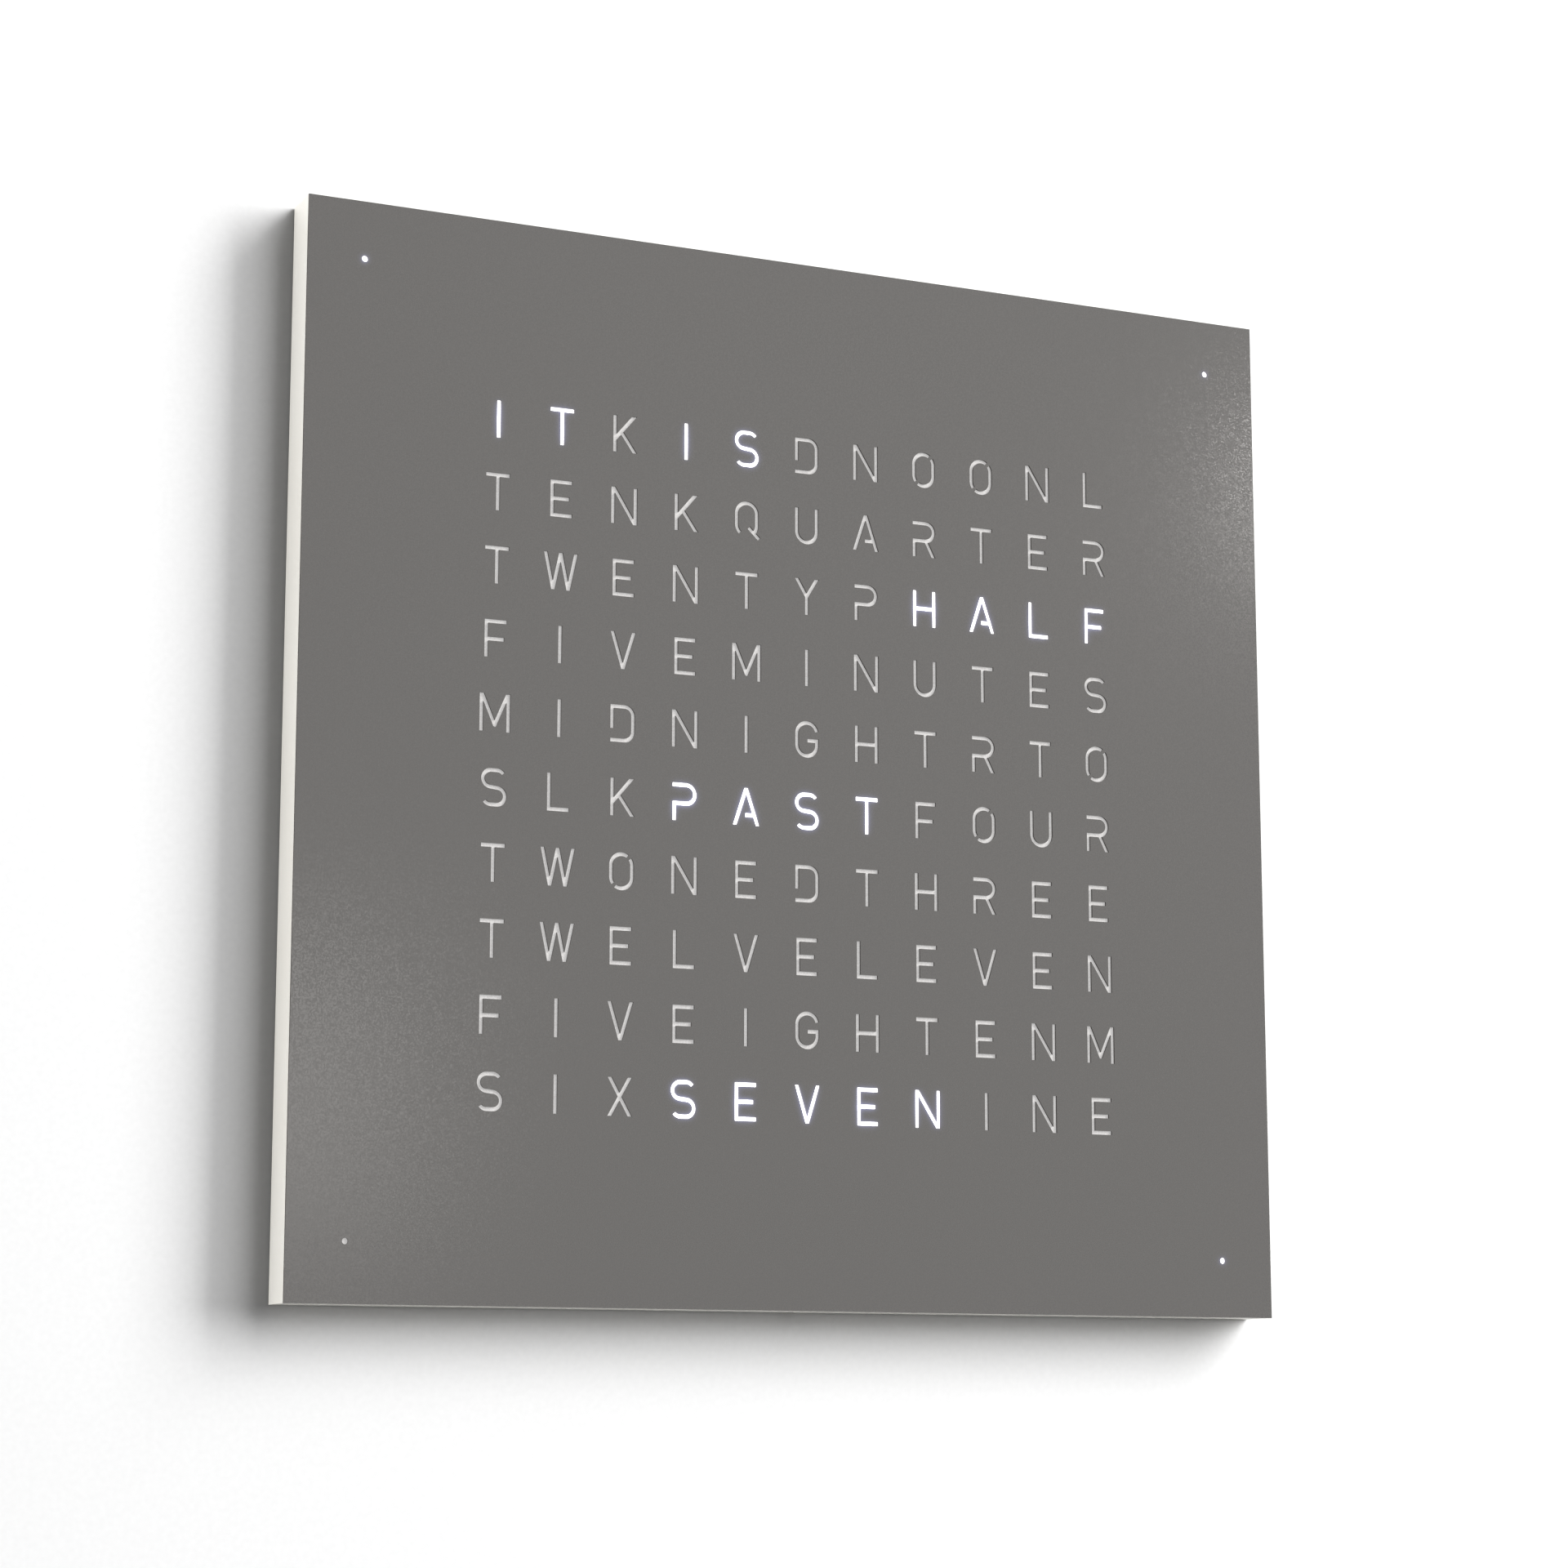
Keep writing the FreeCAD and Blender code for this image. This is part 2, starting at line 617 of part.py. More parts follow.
# ---------------- cover
def make_cover():
    """Steel sheet with the letters and the four minute dots cut through it, and its locating pins."""
    corners = [Vector(sx * HALF_WIDTH, 0, sz * HALF_HEIGHT) for sx, sz in FOUR_CORNERS]
    wires = [Part.makePolygon(corners + corners[:1])]
    outlines = letter_outlines()
    for row, letters in enumerate(LETTER_ROWS):
        for column, letter in enumerate(letters):
            x, z = letter_centre(column, row)
            wires += [moved(wire, x, 0, z) for wire in outlines[letter]]
    for x, z in minute_places():
        wires.append(Part.Wire(Part.makeCircle(MINUTE_DOT_DIAMETER / 2, Vector(x, 0, z), Vector(0, 1, 0))))
    sheet = Part.makeFace(wires, "Part::FaceMakerBullseye").extrude(Vector(0, COVER_THICKNESS, 0))
    save("front_cover", moved(sheet, 0, COVER_FRONT, 0))
    pin = disc(0, 0, PIN_DIAMETER, (CASE_FRONT, CASE_FRONT + PIN_LENGTH))
    save("locating_pins", spread(pin, pin_places()))


# ---------------- case
def key_heights():
    middle = (len(KEY_NAMES) - 1) / 2
    return {name: -KEYS_BELOW_CENTRE + (middle - i) * KEY_PITCH for i, name in enumerate(KEY_NAMES)}


def key_pocket():
    """Half length of the keys' pocket, and of the part of it that reaches the thin web."""
    deep = (len(KEY_NAMES) - 1) * KEY_PITCH / 2 + KEY_POCKET_MARGIN
    return deep + KEY_BOARD_END, deep


def switch_front():
    """X of the face that a switch's plunger stands out of."""
    flange_inner = HALF_WIDTH - KEY_WEB - KEY_CLEARANCE - KEY_FLANGE_THICKNESS
    return flange_inner - PLUNGER_PROUD


def key_cuts():
    """Pocket, shoulders and round holes for the keys in the right-hand rail."""
    y = (KEY_Y - KEY_POCKET_WIDTH / 2, KEY_Y + KEY_POCKET_WIDTH / 2)
    long_half, deep_half = key_pocket()
    shoulder = switch_front() - SWITCH_HEIGHT
    web = HALF_WIDTH - KEY_WEB
    middle = -KEYS_BELOW_CENTRE
    shallow = block((POCKET_X, shoulder), y, (middle - long_half, middle + long_half))
    deep = block((POCKET_X, web), y, (middle - deep_half, middle + deep_half))
    bore = KEY_DIAMETER + 2 * KEY_CLEARANCE
    holes = [rod(bore, (web, HALF_WIDTH), KEY_Y, z) for z in key_heights().values()]
    pilots = [
        rod(BOLT_DIAMETER + 2 * FIT_CLEARANCE, (shoulder, shoulder + KEY_SCREW_LENGTH), KEY_Y, z)
        for z in key_board_screw_heights()
    ]
    return [shallow, deep, *holes, *pilots]


def key_board_screw_heights():
    long_half, deep_half = key_pocket()
    reach = (long_half + deep_half) / 2
    return [-KEYS_BELOW_CENTRE + s * reach for s in (-1, 1)]


def cord_groove(z):
    """Groove in the wall side for the cord on its way down from the plug."""
    half = CORD_GROOVE_WIDTH / 2
    return block((-half, half), (-CORD_GROOVE_DEPTH, 0), z)


def make_case():
    """Four mitred wooden rails with rebates for the opal sheet and the back panel."""
    depth = (CASE_FRONT, 0)
    frame = bar(0, 0, FACE_WIDTH, FACE_HEIGHT, depth)
    outer_rear = [
        e
        for e in frame.Edges
        if abs(e.BoundBox.YMax) < 1e-6 and abs(e.BoundBox.YMin) < 1e-6
    ]
    frame = frame.makeFillet(REAR_EDGE_ROUND, outer_rear)
    cuts = [
        bar(0, 0, 2 * POCKET_X, 2 * POCKET_Z, depth),
        bar(0, 0, FACE_WIDTH - 2 * FRONT_LIP, FACE_HEIGHT - 2 * FRONT_LIP, (CASE_FRONT, LEDGE)),
        bar(0, 0, FACE_WIDTH - 2 * REAR_LIP, FACE_HEIGHT - 2 * REAR_LIP, (PANEL_INNER, 0)),
        cord_groove((-HALF_HEIGHT, -POCKET_Z)),
        *key_cuts(),
    ]
    magnet_floor = CASE_FRONT + MAGNET_SINK + MAGNET_HEIGHT
    for x, z in magnet_places():
        cuts.append(disc(x, z, MAGNET_DIAMETER + 2 * FIT_CLEARANCE, (CASE_FRONT, magnet_floor)))
    for x, z in pin_places():
        cuts.append(disc(x, z, BUSH_DIAMETER + 2 * FIT_CLEARANCE, (CASE_FRONT, CASE_FRONT + BUSH_LENGTH)))
    for x, z in panel_screw_places():
        cuts.append(disc(x, z, SCREW_DIAMETER + 2 * FIT_CLEARANCE, (-SCREW_LENGTH, PANEL_INNER)))
    frame = frame.cut(group(cuts))
    for name, (x, z) in {"left": (-1, 0), "right": (1, 0), "top": (0, 1), "bottom": (0, -1)}.items():
        save(f"frame_rail_{name}", frame.common(mitre(x, z)))


def mitre(x, z):
    """Block with 45 degree ends that holds one rail of the frame."""
    if x:
        outer = [(x * HALF_WIDTH, -HALF_HEIGHT), (x * HALF_WIDTH, HALF_HEIGHT)]
        inner = [(x * POCKET_X, POCKET_Z), (x * POCKET_X, -POCKET_Z)]
    else:
        outer = [(-HALF_WIDTH, z * HALF_HEIGHT), (HALF_WIDTH, z * HALF_HEIGHT)]
        inner = [(POCKET_X, z * POCKET_Z), (-POCKET_X, z * POCKET_Z)]
    corners = [Vector(px, CASE_FRONT, pz) for px, pz in outer + inner]
    outline = Part.makePolygon(corners + corners[:1])
    return Part.Face(outline).extrude(Vector(0, -CASE_FRONT, 0))


def make_case_hardware():
    """Magnets and bushes in the front of the rails."""
    sunk = CASE_FRONT + MAGNET_SINK
    magnet = disc(0, 0, MAGNET_DIAMETER, (sunk, sunk + MAGNET_HEIGHT))
    save("holding_magnets", spread(magnet, magnet_places()))
    bore = PIN_DIAMETER + 2 * PIN_CLEARANCE
    bush = ring(0, 0, BUSH_DIAMETER, bore, (CASE_FRONT, CASE_FRONT + BUSH_LENGTH))
    save("pin_bushes", spread(bush, pin_places()))


def vent_slots():
    """Two groups of slots that let the warm air of the electronics out."""
    offsets = [VENT_INNER + VENT_PITCH * i for i in range(VENT_COUNT)]
    y = (PANEL_INNER, 0)
    return [bar(s * x, BOARD_MIDDLE, VENT_WIDTH, VENT_HEIGHT, y) for s in (-1, 1) for x in offsets]


def make_back_panel():
    """Hardboard panel screwed into the rear rebate, with recesses for the two hanger plates."""
    panel = bar(0, 0, 2 * PANEL_X, 2 * PANEL_Z, (PANEL_INNER, 0))
    half_bay = PLUG_BAY_WIDTH / 2
    plug_bay = block((-half_bay, half_bay), (PANEL_INNER, 0), (-POCKET_Z, SOCKET_MOUTH + PLUG_BAY_MARGIN))
    cuts = [plug_bay, cord_groove((-PANEL_Z, -POCKET_Z)), *vent_slots()]
    for side in (-1, 1):
        x = side * HANGER_SPACING / 2
        recess = HANGER_WIDTH + 2 * HANGER_CLEARANCE, HANGER_HEIGHT + 2 * HANGER_CLEARANCE
        cuts.append(bar(x, HANGER_Z, *recess, (-HANGER_THICKNESS, 0)))
        cuts.append(bar(x, HANGER_Z, *HANGER_WINDOW, (PANEL_INNER, 0)))
    wood_hole = countersunk_hole(
        SCREW_HEAD_DIAMETER, SCREW_HEAD_HEIGHT, SCREW_DIAMETER + 2 * PIN_CLEARANCE, PANEL_INNER
    )
    bolt_hole = countersunk_hole(
        BOLT_HEAD_DIAMETER, BOLT_HEAD_HEIGHT, BOLT_DIAMETER + 2 * PIN_CLEARANCE, PANEL_INNER
    )
    cuts += [moved(wood_hole, x, 0, z) for x, z in panel_screw_places()]
    cuts += [moved(bolt_hole, x, 0, z) for x, z in led_bolt_places() + control_bolt_places()]
    for x, z in hanger_screw_places():
        cuts.append(disc(x, z, BOLT_DIAMETER + 2 * FIT_CLEARANCE, (PANEL_INNER, -HANGER_THICKNESS)))
    save("back_panel", panel.cut(group(cuts)))
    screw = flat_head(SCREW_HEAD_DIAMETER, SCREW_HEAD_HEIGHT, SCREW_DIAMETER, -SCREW_LENGTH)
    save("back_panel_screws", spread(screw, panel_screw_places()))


def make_hangers():
    """Steel plates with a keyhole each, flush with the back, and their screws."""
    screw_hole = countersunk_hole(
        BOLT_HEAD_DIAMETER, HANGER_SCREW_HEAD_HEIGHT, BOLT_DIAMETER + 2 * PIN_CLEARANCE, -HANGER_THICKNESS
    )
    y = (-HANGER_THICKNESS, 0)
    entry = HANGER_Z - KEYHOLE_TRAVEL / 2
    for name, side in {"left": -1, "right": 1}.items():
        x = side * HANGER_SPACING / 2
        plate = bar(x, HANGER_Z, HANGER_WIDTH, HANGER_HEIGHT, y)
        cuts = [
            disc(x, entry, KEYHOLE_DIAMETER, y),
            disc(x, entry + KEYHOLE_TRAVEL, KEYHOLE_SLOT, y),
            bar(x, entry + KEYHOLE_TRAVEL / 2, KEYHOLE_SLOT, KEYHOLE_TRAVEL, y),
        ]
        cuts += [moved(screw_hole, px, 0, pz) for px, pz in hanger_screw_places()]
        save(f"hanger_plate_{name}", plate.cut(group(cuts)))
    screw = flat_head(BOLT_HEAD_DIAMETER, HANGER_SCREW_HEAD_HEIGHT, BOLT_DIAMETER, -HANGER_SCREW_LENGTH)
    save("hanger_screws", spread(screw, hanger_screw_places()))


# ---------------- light
def make_light_box():
    """Opal sheet, and interlocking baffles that keep each letter's light to itself."""
    sheet_x = HALF_WIDTH - FRONT_LIP - EDGE_CLEARANCE
    sheet_z = HALF_HEIGHT - FRONT_LIP - EDGE_CLEARANCE
    save("opal_sheet", bar(0, 0, 2 * sheet_x, 2 * sheet_z, (LEDGE - SHEET_THICKNESS, LEDGE)))

    lines_x = [-GRID_X + i * LETTER_PITCH_X for i in range(COLUMNS + 1)]
    lines_z = [-GRID_Z + i * LETTER_PITCH_Z for i in range(ROWS + 1)]
    middle = (LEDGE + LED_BOARD_FRONT) / 2
    slot = BAFFLE_THICKNESS + 2 * BAFFLE_SLOT_CLEARANCE
    upright = bar(0, 0, BAFFLE_THICKNESS, 2 * GRID_Z + BAFFLE_THICKNESS, (LEDGE, LED_BOARD_FRONT))
    rear_half = (middle - BAFFLE_SLOT_CLEARANCE, LED_BOARD_FRONT)
    upright = upright.cut(group(bar(0, z, slot, slot, rear_half) for z in lines_z[1:-1]))
    across = (-BAFFLE_THICKNESS, BAFFLE_THICKNESS)
    upright = upright.cut(group(block(across, rear_half, z) for z in lap_limits(lines_z)))
    level = bar(0, 0, 2 * GRID_X + BAFFLE_THICKNESS, BAFFLE_THICKNESS, (LEDGE, LED_BOARD_FRONT))
    front_half = (LEDGE, middle + BAFFLE_SLOT_CLEARANCE)
    level = level.cut(group(bar(x, 0, slot, slot, front_half) for x in lines_x[1:-1]))
    level = level.cut(group(block(x, front_half, across) for x in lap_limits(lines_x)))
    save("upright_baffles", spread(upright, [(x, 0) for x in lines_x]))
    save("level_baffles", spread(level, [(0, z) for z in lines_z]))

    wells = (LEDGE, LED_BOARD_FRONT)
    well = ring(0, 0, WELL_OUTER_DIAMETER, WELL_OUTER_DIAMETER - 2 * WELL_WALL, wells)
    save("minute_light_wells", spread(well, minute_places()))


def lap_limits(lines):
    """Limits of the half-lap cuts at both ends of a baffle, from past its end to the crossing one."""
    reach = BAFFLE_THICKNESS / 2 + BAFFLE_SLOT_CLEARANCE
    first, last = lines[0], lines[-1]
    return (first - BAFFLE_THICKNESS, first + reach), (last - reach, last + BAFFLE_THICKNESS)


def led():
    """Square LED package with a round window, on the origin's XZ place and standing on the LED board."""
    front = LED_BOARD_FRONT - LED_HEIGHT
    body = bar(0, 0, LED_SIZE, LED_SIZE, (front, LED_BOARD_FRONT))
    return body.cut(disc(0, 0, LED_WINDOW_DIAMETER, (front, front + LED_WINDOW_DEPTH)))


def nut(y):
    """Hexagon nut with a plain bore."""
    corner = NUT_WIDTH / math.sqrt(3)
    points = [
        Vector(corner * math.cos(math.radians(60 * i)), y[0], corner * math.sin(math.radians(60 * i)))
        for i in range(7)
    ]
    hexagon = Part.Face(Part.makePolygon(points)).extrude(Vector(0, y[1] - y[0], 0))
    return hexagon.cut(disc(0, 0, BOLT_DIAMETER + 2 * FIT_CLEARANCE, y))


def make_led_boards():
    """Large LED board, the four small ones behind the minute dots, and what carries them."""
    hole = BOLT_DIAMETER + 2 * PIN_CLEARANCE
    thickness = (LED_BOARD_FRONT, LED_BOARD_REAR)
    board = bar(0, 0, 2 * LED_BOARD_X, 2 * LED_BOARD_Z, thickness)
    save("led_board", board.cut(spread(disc(0, 0, hole, thickness), led_bolt_places())))
    save("letter_leds", spread(led(), all_cells()))
    spacer_gap = (LED_BOARD_REAR, PANEL_INNER)
    save("led_board_spacers", spread(ring(0, 0, SPACER_DIAMETER, hole, spacer_gap), led_bolt_places()))
    nut_y = (LED_BOARD_FRONT - NUT_HEIGHT, LED_BOARD_FRONT)
    bolt = flat_head(BOLT_HEAD_DIAMETER, BOLT_HEAD_HEIGHT, BOLT_DIAMETER, nut_y[0])
    save("led_board_bolts", spread(bolt, led_bolt_places()))
    save("led_board_nuts", spread(nut(nut_y), led_bolt_places()))

    small_board = bar(0, 0, MINUTE_BOARD_SIZE, MINUTE_BOARD_SIZE, thickness)
    save("minute_led_boards", spread(small_board, minute_places()))
    save("minute_leds", spread(led(), minute_places()))
    pad = bar(0, 0, MINUTE_BOARD_SIZE, MINUTE_BOARD_SIZE, spacer_gap)
    save("minute_board_pads", spread(pad, minute_places()))

    x, z = letter_centre(*SENSOR_CELL)
    sensor_y = (LED_BOARD_FRONT - SENSOR_SIZE[1], LED_BOARD_FRONT)
    save("light_sensor", bar(x, z - SENSOR_OFFSET, SENSOR_SIZE[0], SENSOR_SIZE[2], sensor_y))


def make_minute_leads():
    """Leads from the sides of the LED board to the four minute boards."""
    y = (LED_BOARD_FRONT + LED_BOARD_REAR) / 2
    start_z = LED_BOARD_Z - 12.0
    board_edge = MINUTE_Z - MINUTE_BOARD_SIZE / 2
    route = [
        (LED_BOARD_X, start_z),
        (LED_BOARD_X + 12.0, start_z),
        (MINUTE_X - 14.0, start_z + 10.0),
        (MINUTE_X, board_edge - 22.0),
        (MINUTE_X, board_edge),
    ]
    leads = [lead([(sx * x, y, sz * z) for x, z in route]) for sx, sz in FOUR_CORNERS]
    save("minute_led_leads", group(leads))


# ---------------- electronics
def make_control_board():
    """Circuit board with the processor, its clock crystal and back-up cell, held by four bolts."""
    hole = BOLT_DIAMETER + 2 * PIN_CLEARANCE
    thickness = (CONTROL_FRONT, CONTROL_REAR)
    board = bar(0, BOARD_MIDDLE, CONTROL_BOARD_WIDTH, CONTROL_BOARD_HEIGHT, thickness)
    save("control_board", board.cut(spread(disc(0, 0, hole, thickness), control_bolt_places())))
    gap = (CONTROL_REAR, PANEL_INNER)
    save("control_board_spacers", spread(ring(0, 0, SPACER_DIAMETER, hole, gap), control_bolt_places()))
    nut_y = (CONTROL_FRONT - NUT_HEIGHT, CONTROL_FRONT)
    bolt = flat_head(BOLT_HEAD_DIAMETER, BOLT_HEAD_HEIGHT, BOLT_DIAMETER, nut_y[0])
    save("control_board_bolts", spread(bolt, control_bolt_places()))
    save("control_board_nuts", spread(nut(nut_y), control_bolt_places()))

    cell_x = CONTROL_BOARD_WIDTH / 2 - CELL_INSET
    floor = CONTROL_REAR + CELL_HOLDER_WALL
    rim = floor + CELL_HEIGHT - CELL_PROUD
    holder = bar(cell_x, BOARD_MIDDLE, CELL_HOLDER_SIZE, CELL_HOLDER_SIZE, (CONTROL_REAR, rim))
    recess = disc(cell_x, BOARD_MIDDLE, CELL_DIAMETER + 2 * FIT_CLEARANCE, (floor, rim))
    save("cell_holder", holder.cut(recess))
    save("backup_cell", disc(cell_x, BOARD_MIDDLE, CELL_DIAMETER, (floor, floor + CELL_HEIGHT)))

    width, height, length = REGULATOR_SIZE
    beside_bay = max(PLUG_BAY_WIDTH, SOCKET_WIDTH) / 2 + CHIP_GAP
    regulator_x = beside_bay + width / 2
    regulator_z = BOARD_TOP - CONTROL_BOLT_INSET - length / 2
    regulator_y = (CONTROL_REAR, CONTROL_REAR + height)
    save("regulator", bar(regulator_x, regulator_z, width, length, regulator_y))
    capacitor = disc(0, 0, CAPACITOR_DIAMETER, (CONTROL_REAR, CONTROL_REAR + CAPACITOR_HEIGHT))
    capacitor_x = beside_bay + CAPACITOR_DIAMETER / 2
    capacitor_z = regulator_z - length / 2 - CHIP_GAP - CAPACITOR_DIAMETER / 2
    save("capacitors", spread(capacitor, [(-capacitor_x, capacitor_z), (capacitor_x, capacitor_z)]))

    width, height, length = CRYSTAL_SIZE
    crystal_x = -(capacitor_x + CAPACITOR_DIAMETER / 2 + CRYSTAL_GAP + width / 2)
    crystal_y = (CONTROL_REAR, CONTROL_REAR + height)
    save("clock_crystal", bar(crystal_x, BOARD_MIDDLE, width, length, crystal_y))
    chip_x = crystal_x - width / 2 - CHIP_GAP - CHIP_SIZE / 2
    chip_y = (CONTROL_REAR, CONTROL_REAR + CHIP_HEIGHT)
    save("processor", bar(chip_x, BOARD_MIDDLE, CHIP_SIZE, CHIP_SIZE, chip_y))


def make_power_socket():
    """Barrel socket that faces down into the plug channel, with its centre contact."""
    body_y = (CONTROL_REAR, PANEL_INNER - SOCKET_GAP)
    axis_y = sum(body_y) / 2
    half = SOCKET_WIDTH / 2
    body = block((-half, half), body_y, (SOCKET_MOUTH, SOCKET_MOUTH + SOCKET_LENGTH))
    up = Vector(0, 0, 1)
    mouth = Vector(0, axis_y, SOCKET_MOUTH)
    bore = Part.makeCylinder(SOCKET_BORE / 2, SOCKET_BORE_DEPTH, mouth, up)
    save("power_socket", body.cut(bore))
    pin_start = Vector(0, axis_y, SOCKET_MOUTH + SOCKET_PIN_RECESS)
    pin = Part.makeCylinder(SOCKET_PIN_DIAMETER / 2, SOCKET_BORE_DEPTH - SOCKET_PIN_RECESS, pin_start, up)
    save("power_socket_contact", pin)


def make_ribbon():
    """Flat cable from the back of the LED board down to the control board, with a plug at each end."""
    x = -(SOCKET_WIDTH / 2 + RIBBON_PLUG_GAP + RIBBON_PLUG_WIDTH / 2)
    width = (x - RIBBON_WIDTH / 2, x + RIBBON_WIDTH / 2)
    half = RIBBON_THICKNESS / 2
    upper_y = (LED_BOARD_REAR, PANEL_INNER - SOCKET_GAP)
    lower_y = (CONTROL_REAR, CONTROL_REAR + RIBBON_PLUG_DEPTH)
    hanging_y = sum(upper_y) / 2
    level = BOARD_TOP - RIBBON_PLUG_HEIGHT / 2
    plug_foot = -LED_BOARD_Z + RIBBON_PLUG_RISE
    room = RIBBON_BEND + RIBBON_THICKNESS
    bend_y, bend_z = hanging_y + half - room, level - half + room
    down = block(width, (hanging_y - half, hanging_y + half), (bend_z, plug_foot))
    across = block(width, (lower_y[1], bend_y), (level - half, level + half))
    axis = Vector(width[0], bend_y, bend_z)
    outer = Part.makeCylinder(room, RIBBON_WIDTH, axis, Vector(1, 0, 0))
    inner = Part.makeCylinder(RIBBON_BEND, RIBBON_WIDTH, axis, Vector(1, 0, 0))
    corner = block(width, (bend_y, bend_y + room), (bend_z - room, bend_z))
    turn = outer.cut(inner).common(corner)
    save("ribbon_cable", down.fuse(turn).fuse(across).removeSplitter())
    plug_size = RIBBON_PLUG_WIDTH, RIBBON_PLUG_HEIGHT
    save("ribbon_plug_upper", bar(x, plug_foot + RIBBON_PLUG_HEIGHT / 2, *plug_size, upper_y))
    save("ribbon_plug_lower", bar(x, level, *plug_size, lower_y))


# ---------------- time signal receiver
def make_receiver():
    """Ferrite rod with its coil in two clips, and the small receiver board beside it."""
    y = PANEL_INNER - ROD_DEPTH
    middle = -AERIAL_OFFSET
    half = ROD_LENGTH / 2
    save("aerial_rod", rod(ROD_DIAMETER, (middle - half, middle + half), y, AERIAL_Z))
    coil_x = (middle - COIL_LENGTH / 2, middle + COIL_LENGTH / 2)
    coil_bore = rod(ROD_DIAMETER + 2 * FIT_CLEARANCE, coil_x, y, AERIAL_Z)
    save("aerial_coil", rod(COIL_DIAMETER, coil_x, y, AERIAL_Z).cut(coil_bore))
    clips = []
    for side in (-1, 1):
        x = middle + side * (half - CLIP_LENGTH)
        span = (x - CLIP_LENGTH / 2, x + CLIP_LENGTH / 2)
        front = y - ROD_DIAMETER / 2 - CLIP_WALL
        clip = block(span, (front, PANEL_INNER), (AERIAL_Z - CLIP_WIDTH / 2, AERIAL_Z + CLIP_WIDTH / 2))
        clips.append(clip.cut(rod(ROD_DIAMETER + 2 * FIT_CLEARANCE, span, y, AERIAL_Z)))
    save("aerial_clips", group(clips))

    pad_front = PANEL_INNER - RADIO_PAD_THICKNESS
    board_front = pad_front - BOARD_THICKNESS
    width, height = RADIO_BOARD_SIZE
    board_x, board_z = -RADIO_BOARD_OFFSET, RADIO_BOARD_Z
    pad_size = width - 2 * RADIO_PAD_BORDER, height - 2 * RADIO_PAD_BORDER
    save("receiver_pad", bar(board_x, board_z, *pad_size, (pad_front, PANEL_INNER)))
    save("receiver_board", bar(board_x, board_z, width, height, (board_front, pad_front)))
    chip_y = (board_front - RADIO_CHIP_HEIGHT, board_front)
    save("receiver_chip", disc(board_x, board_z, RADIO_CHIP_DIAMETER, chip_y))

    board_y = (board_front + pad_front) / 2
    left, right = board_x - width / 2, board_x + width / 2
    under_coil = AERIAL_Z - COIL_DIAMETER / 2
    aerial_route = [
        (left, board_y, board_z - 3.0),
        (left - 9.0, board_y, board_z - 3.0),
        (left - 19.0, board_y - 0.5, board_z - 7.0),
        (middle + 11.0, y + 1.0, under_coil - 11.0),
        (middle, y, under_coil - 9.0),
        (middle, y, under_coil),
    ]
    save("aerial_lead", lead(aerial_route))
    control_left = -CONTROL_BOARD_WIDTH / 2
    control_y = (CONTROL_FRONT + CONTROL_REAR) / 2
    gap = control_left - right
    receiver_route = [
        (right, board_y, board_z + 1.0),
        (right + gap * 0.28, board_y, board_z + 1.0),
        (right + gap * 0.5, (board_y + control_y) / 2 + 0.5, board_z),
        (right + gap * 0.72, control_y, board_z - 2.0),
        (control_left, control_y, board_z - 2.0),
    ]
    save("receiver_lead", lead(receiver_route))


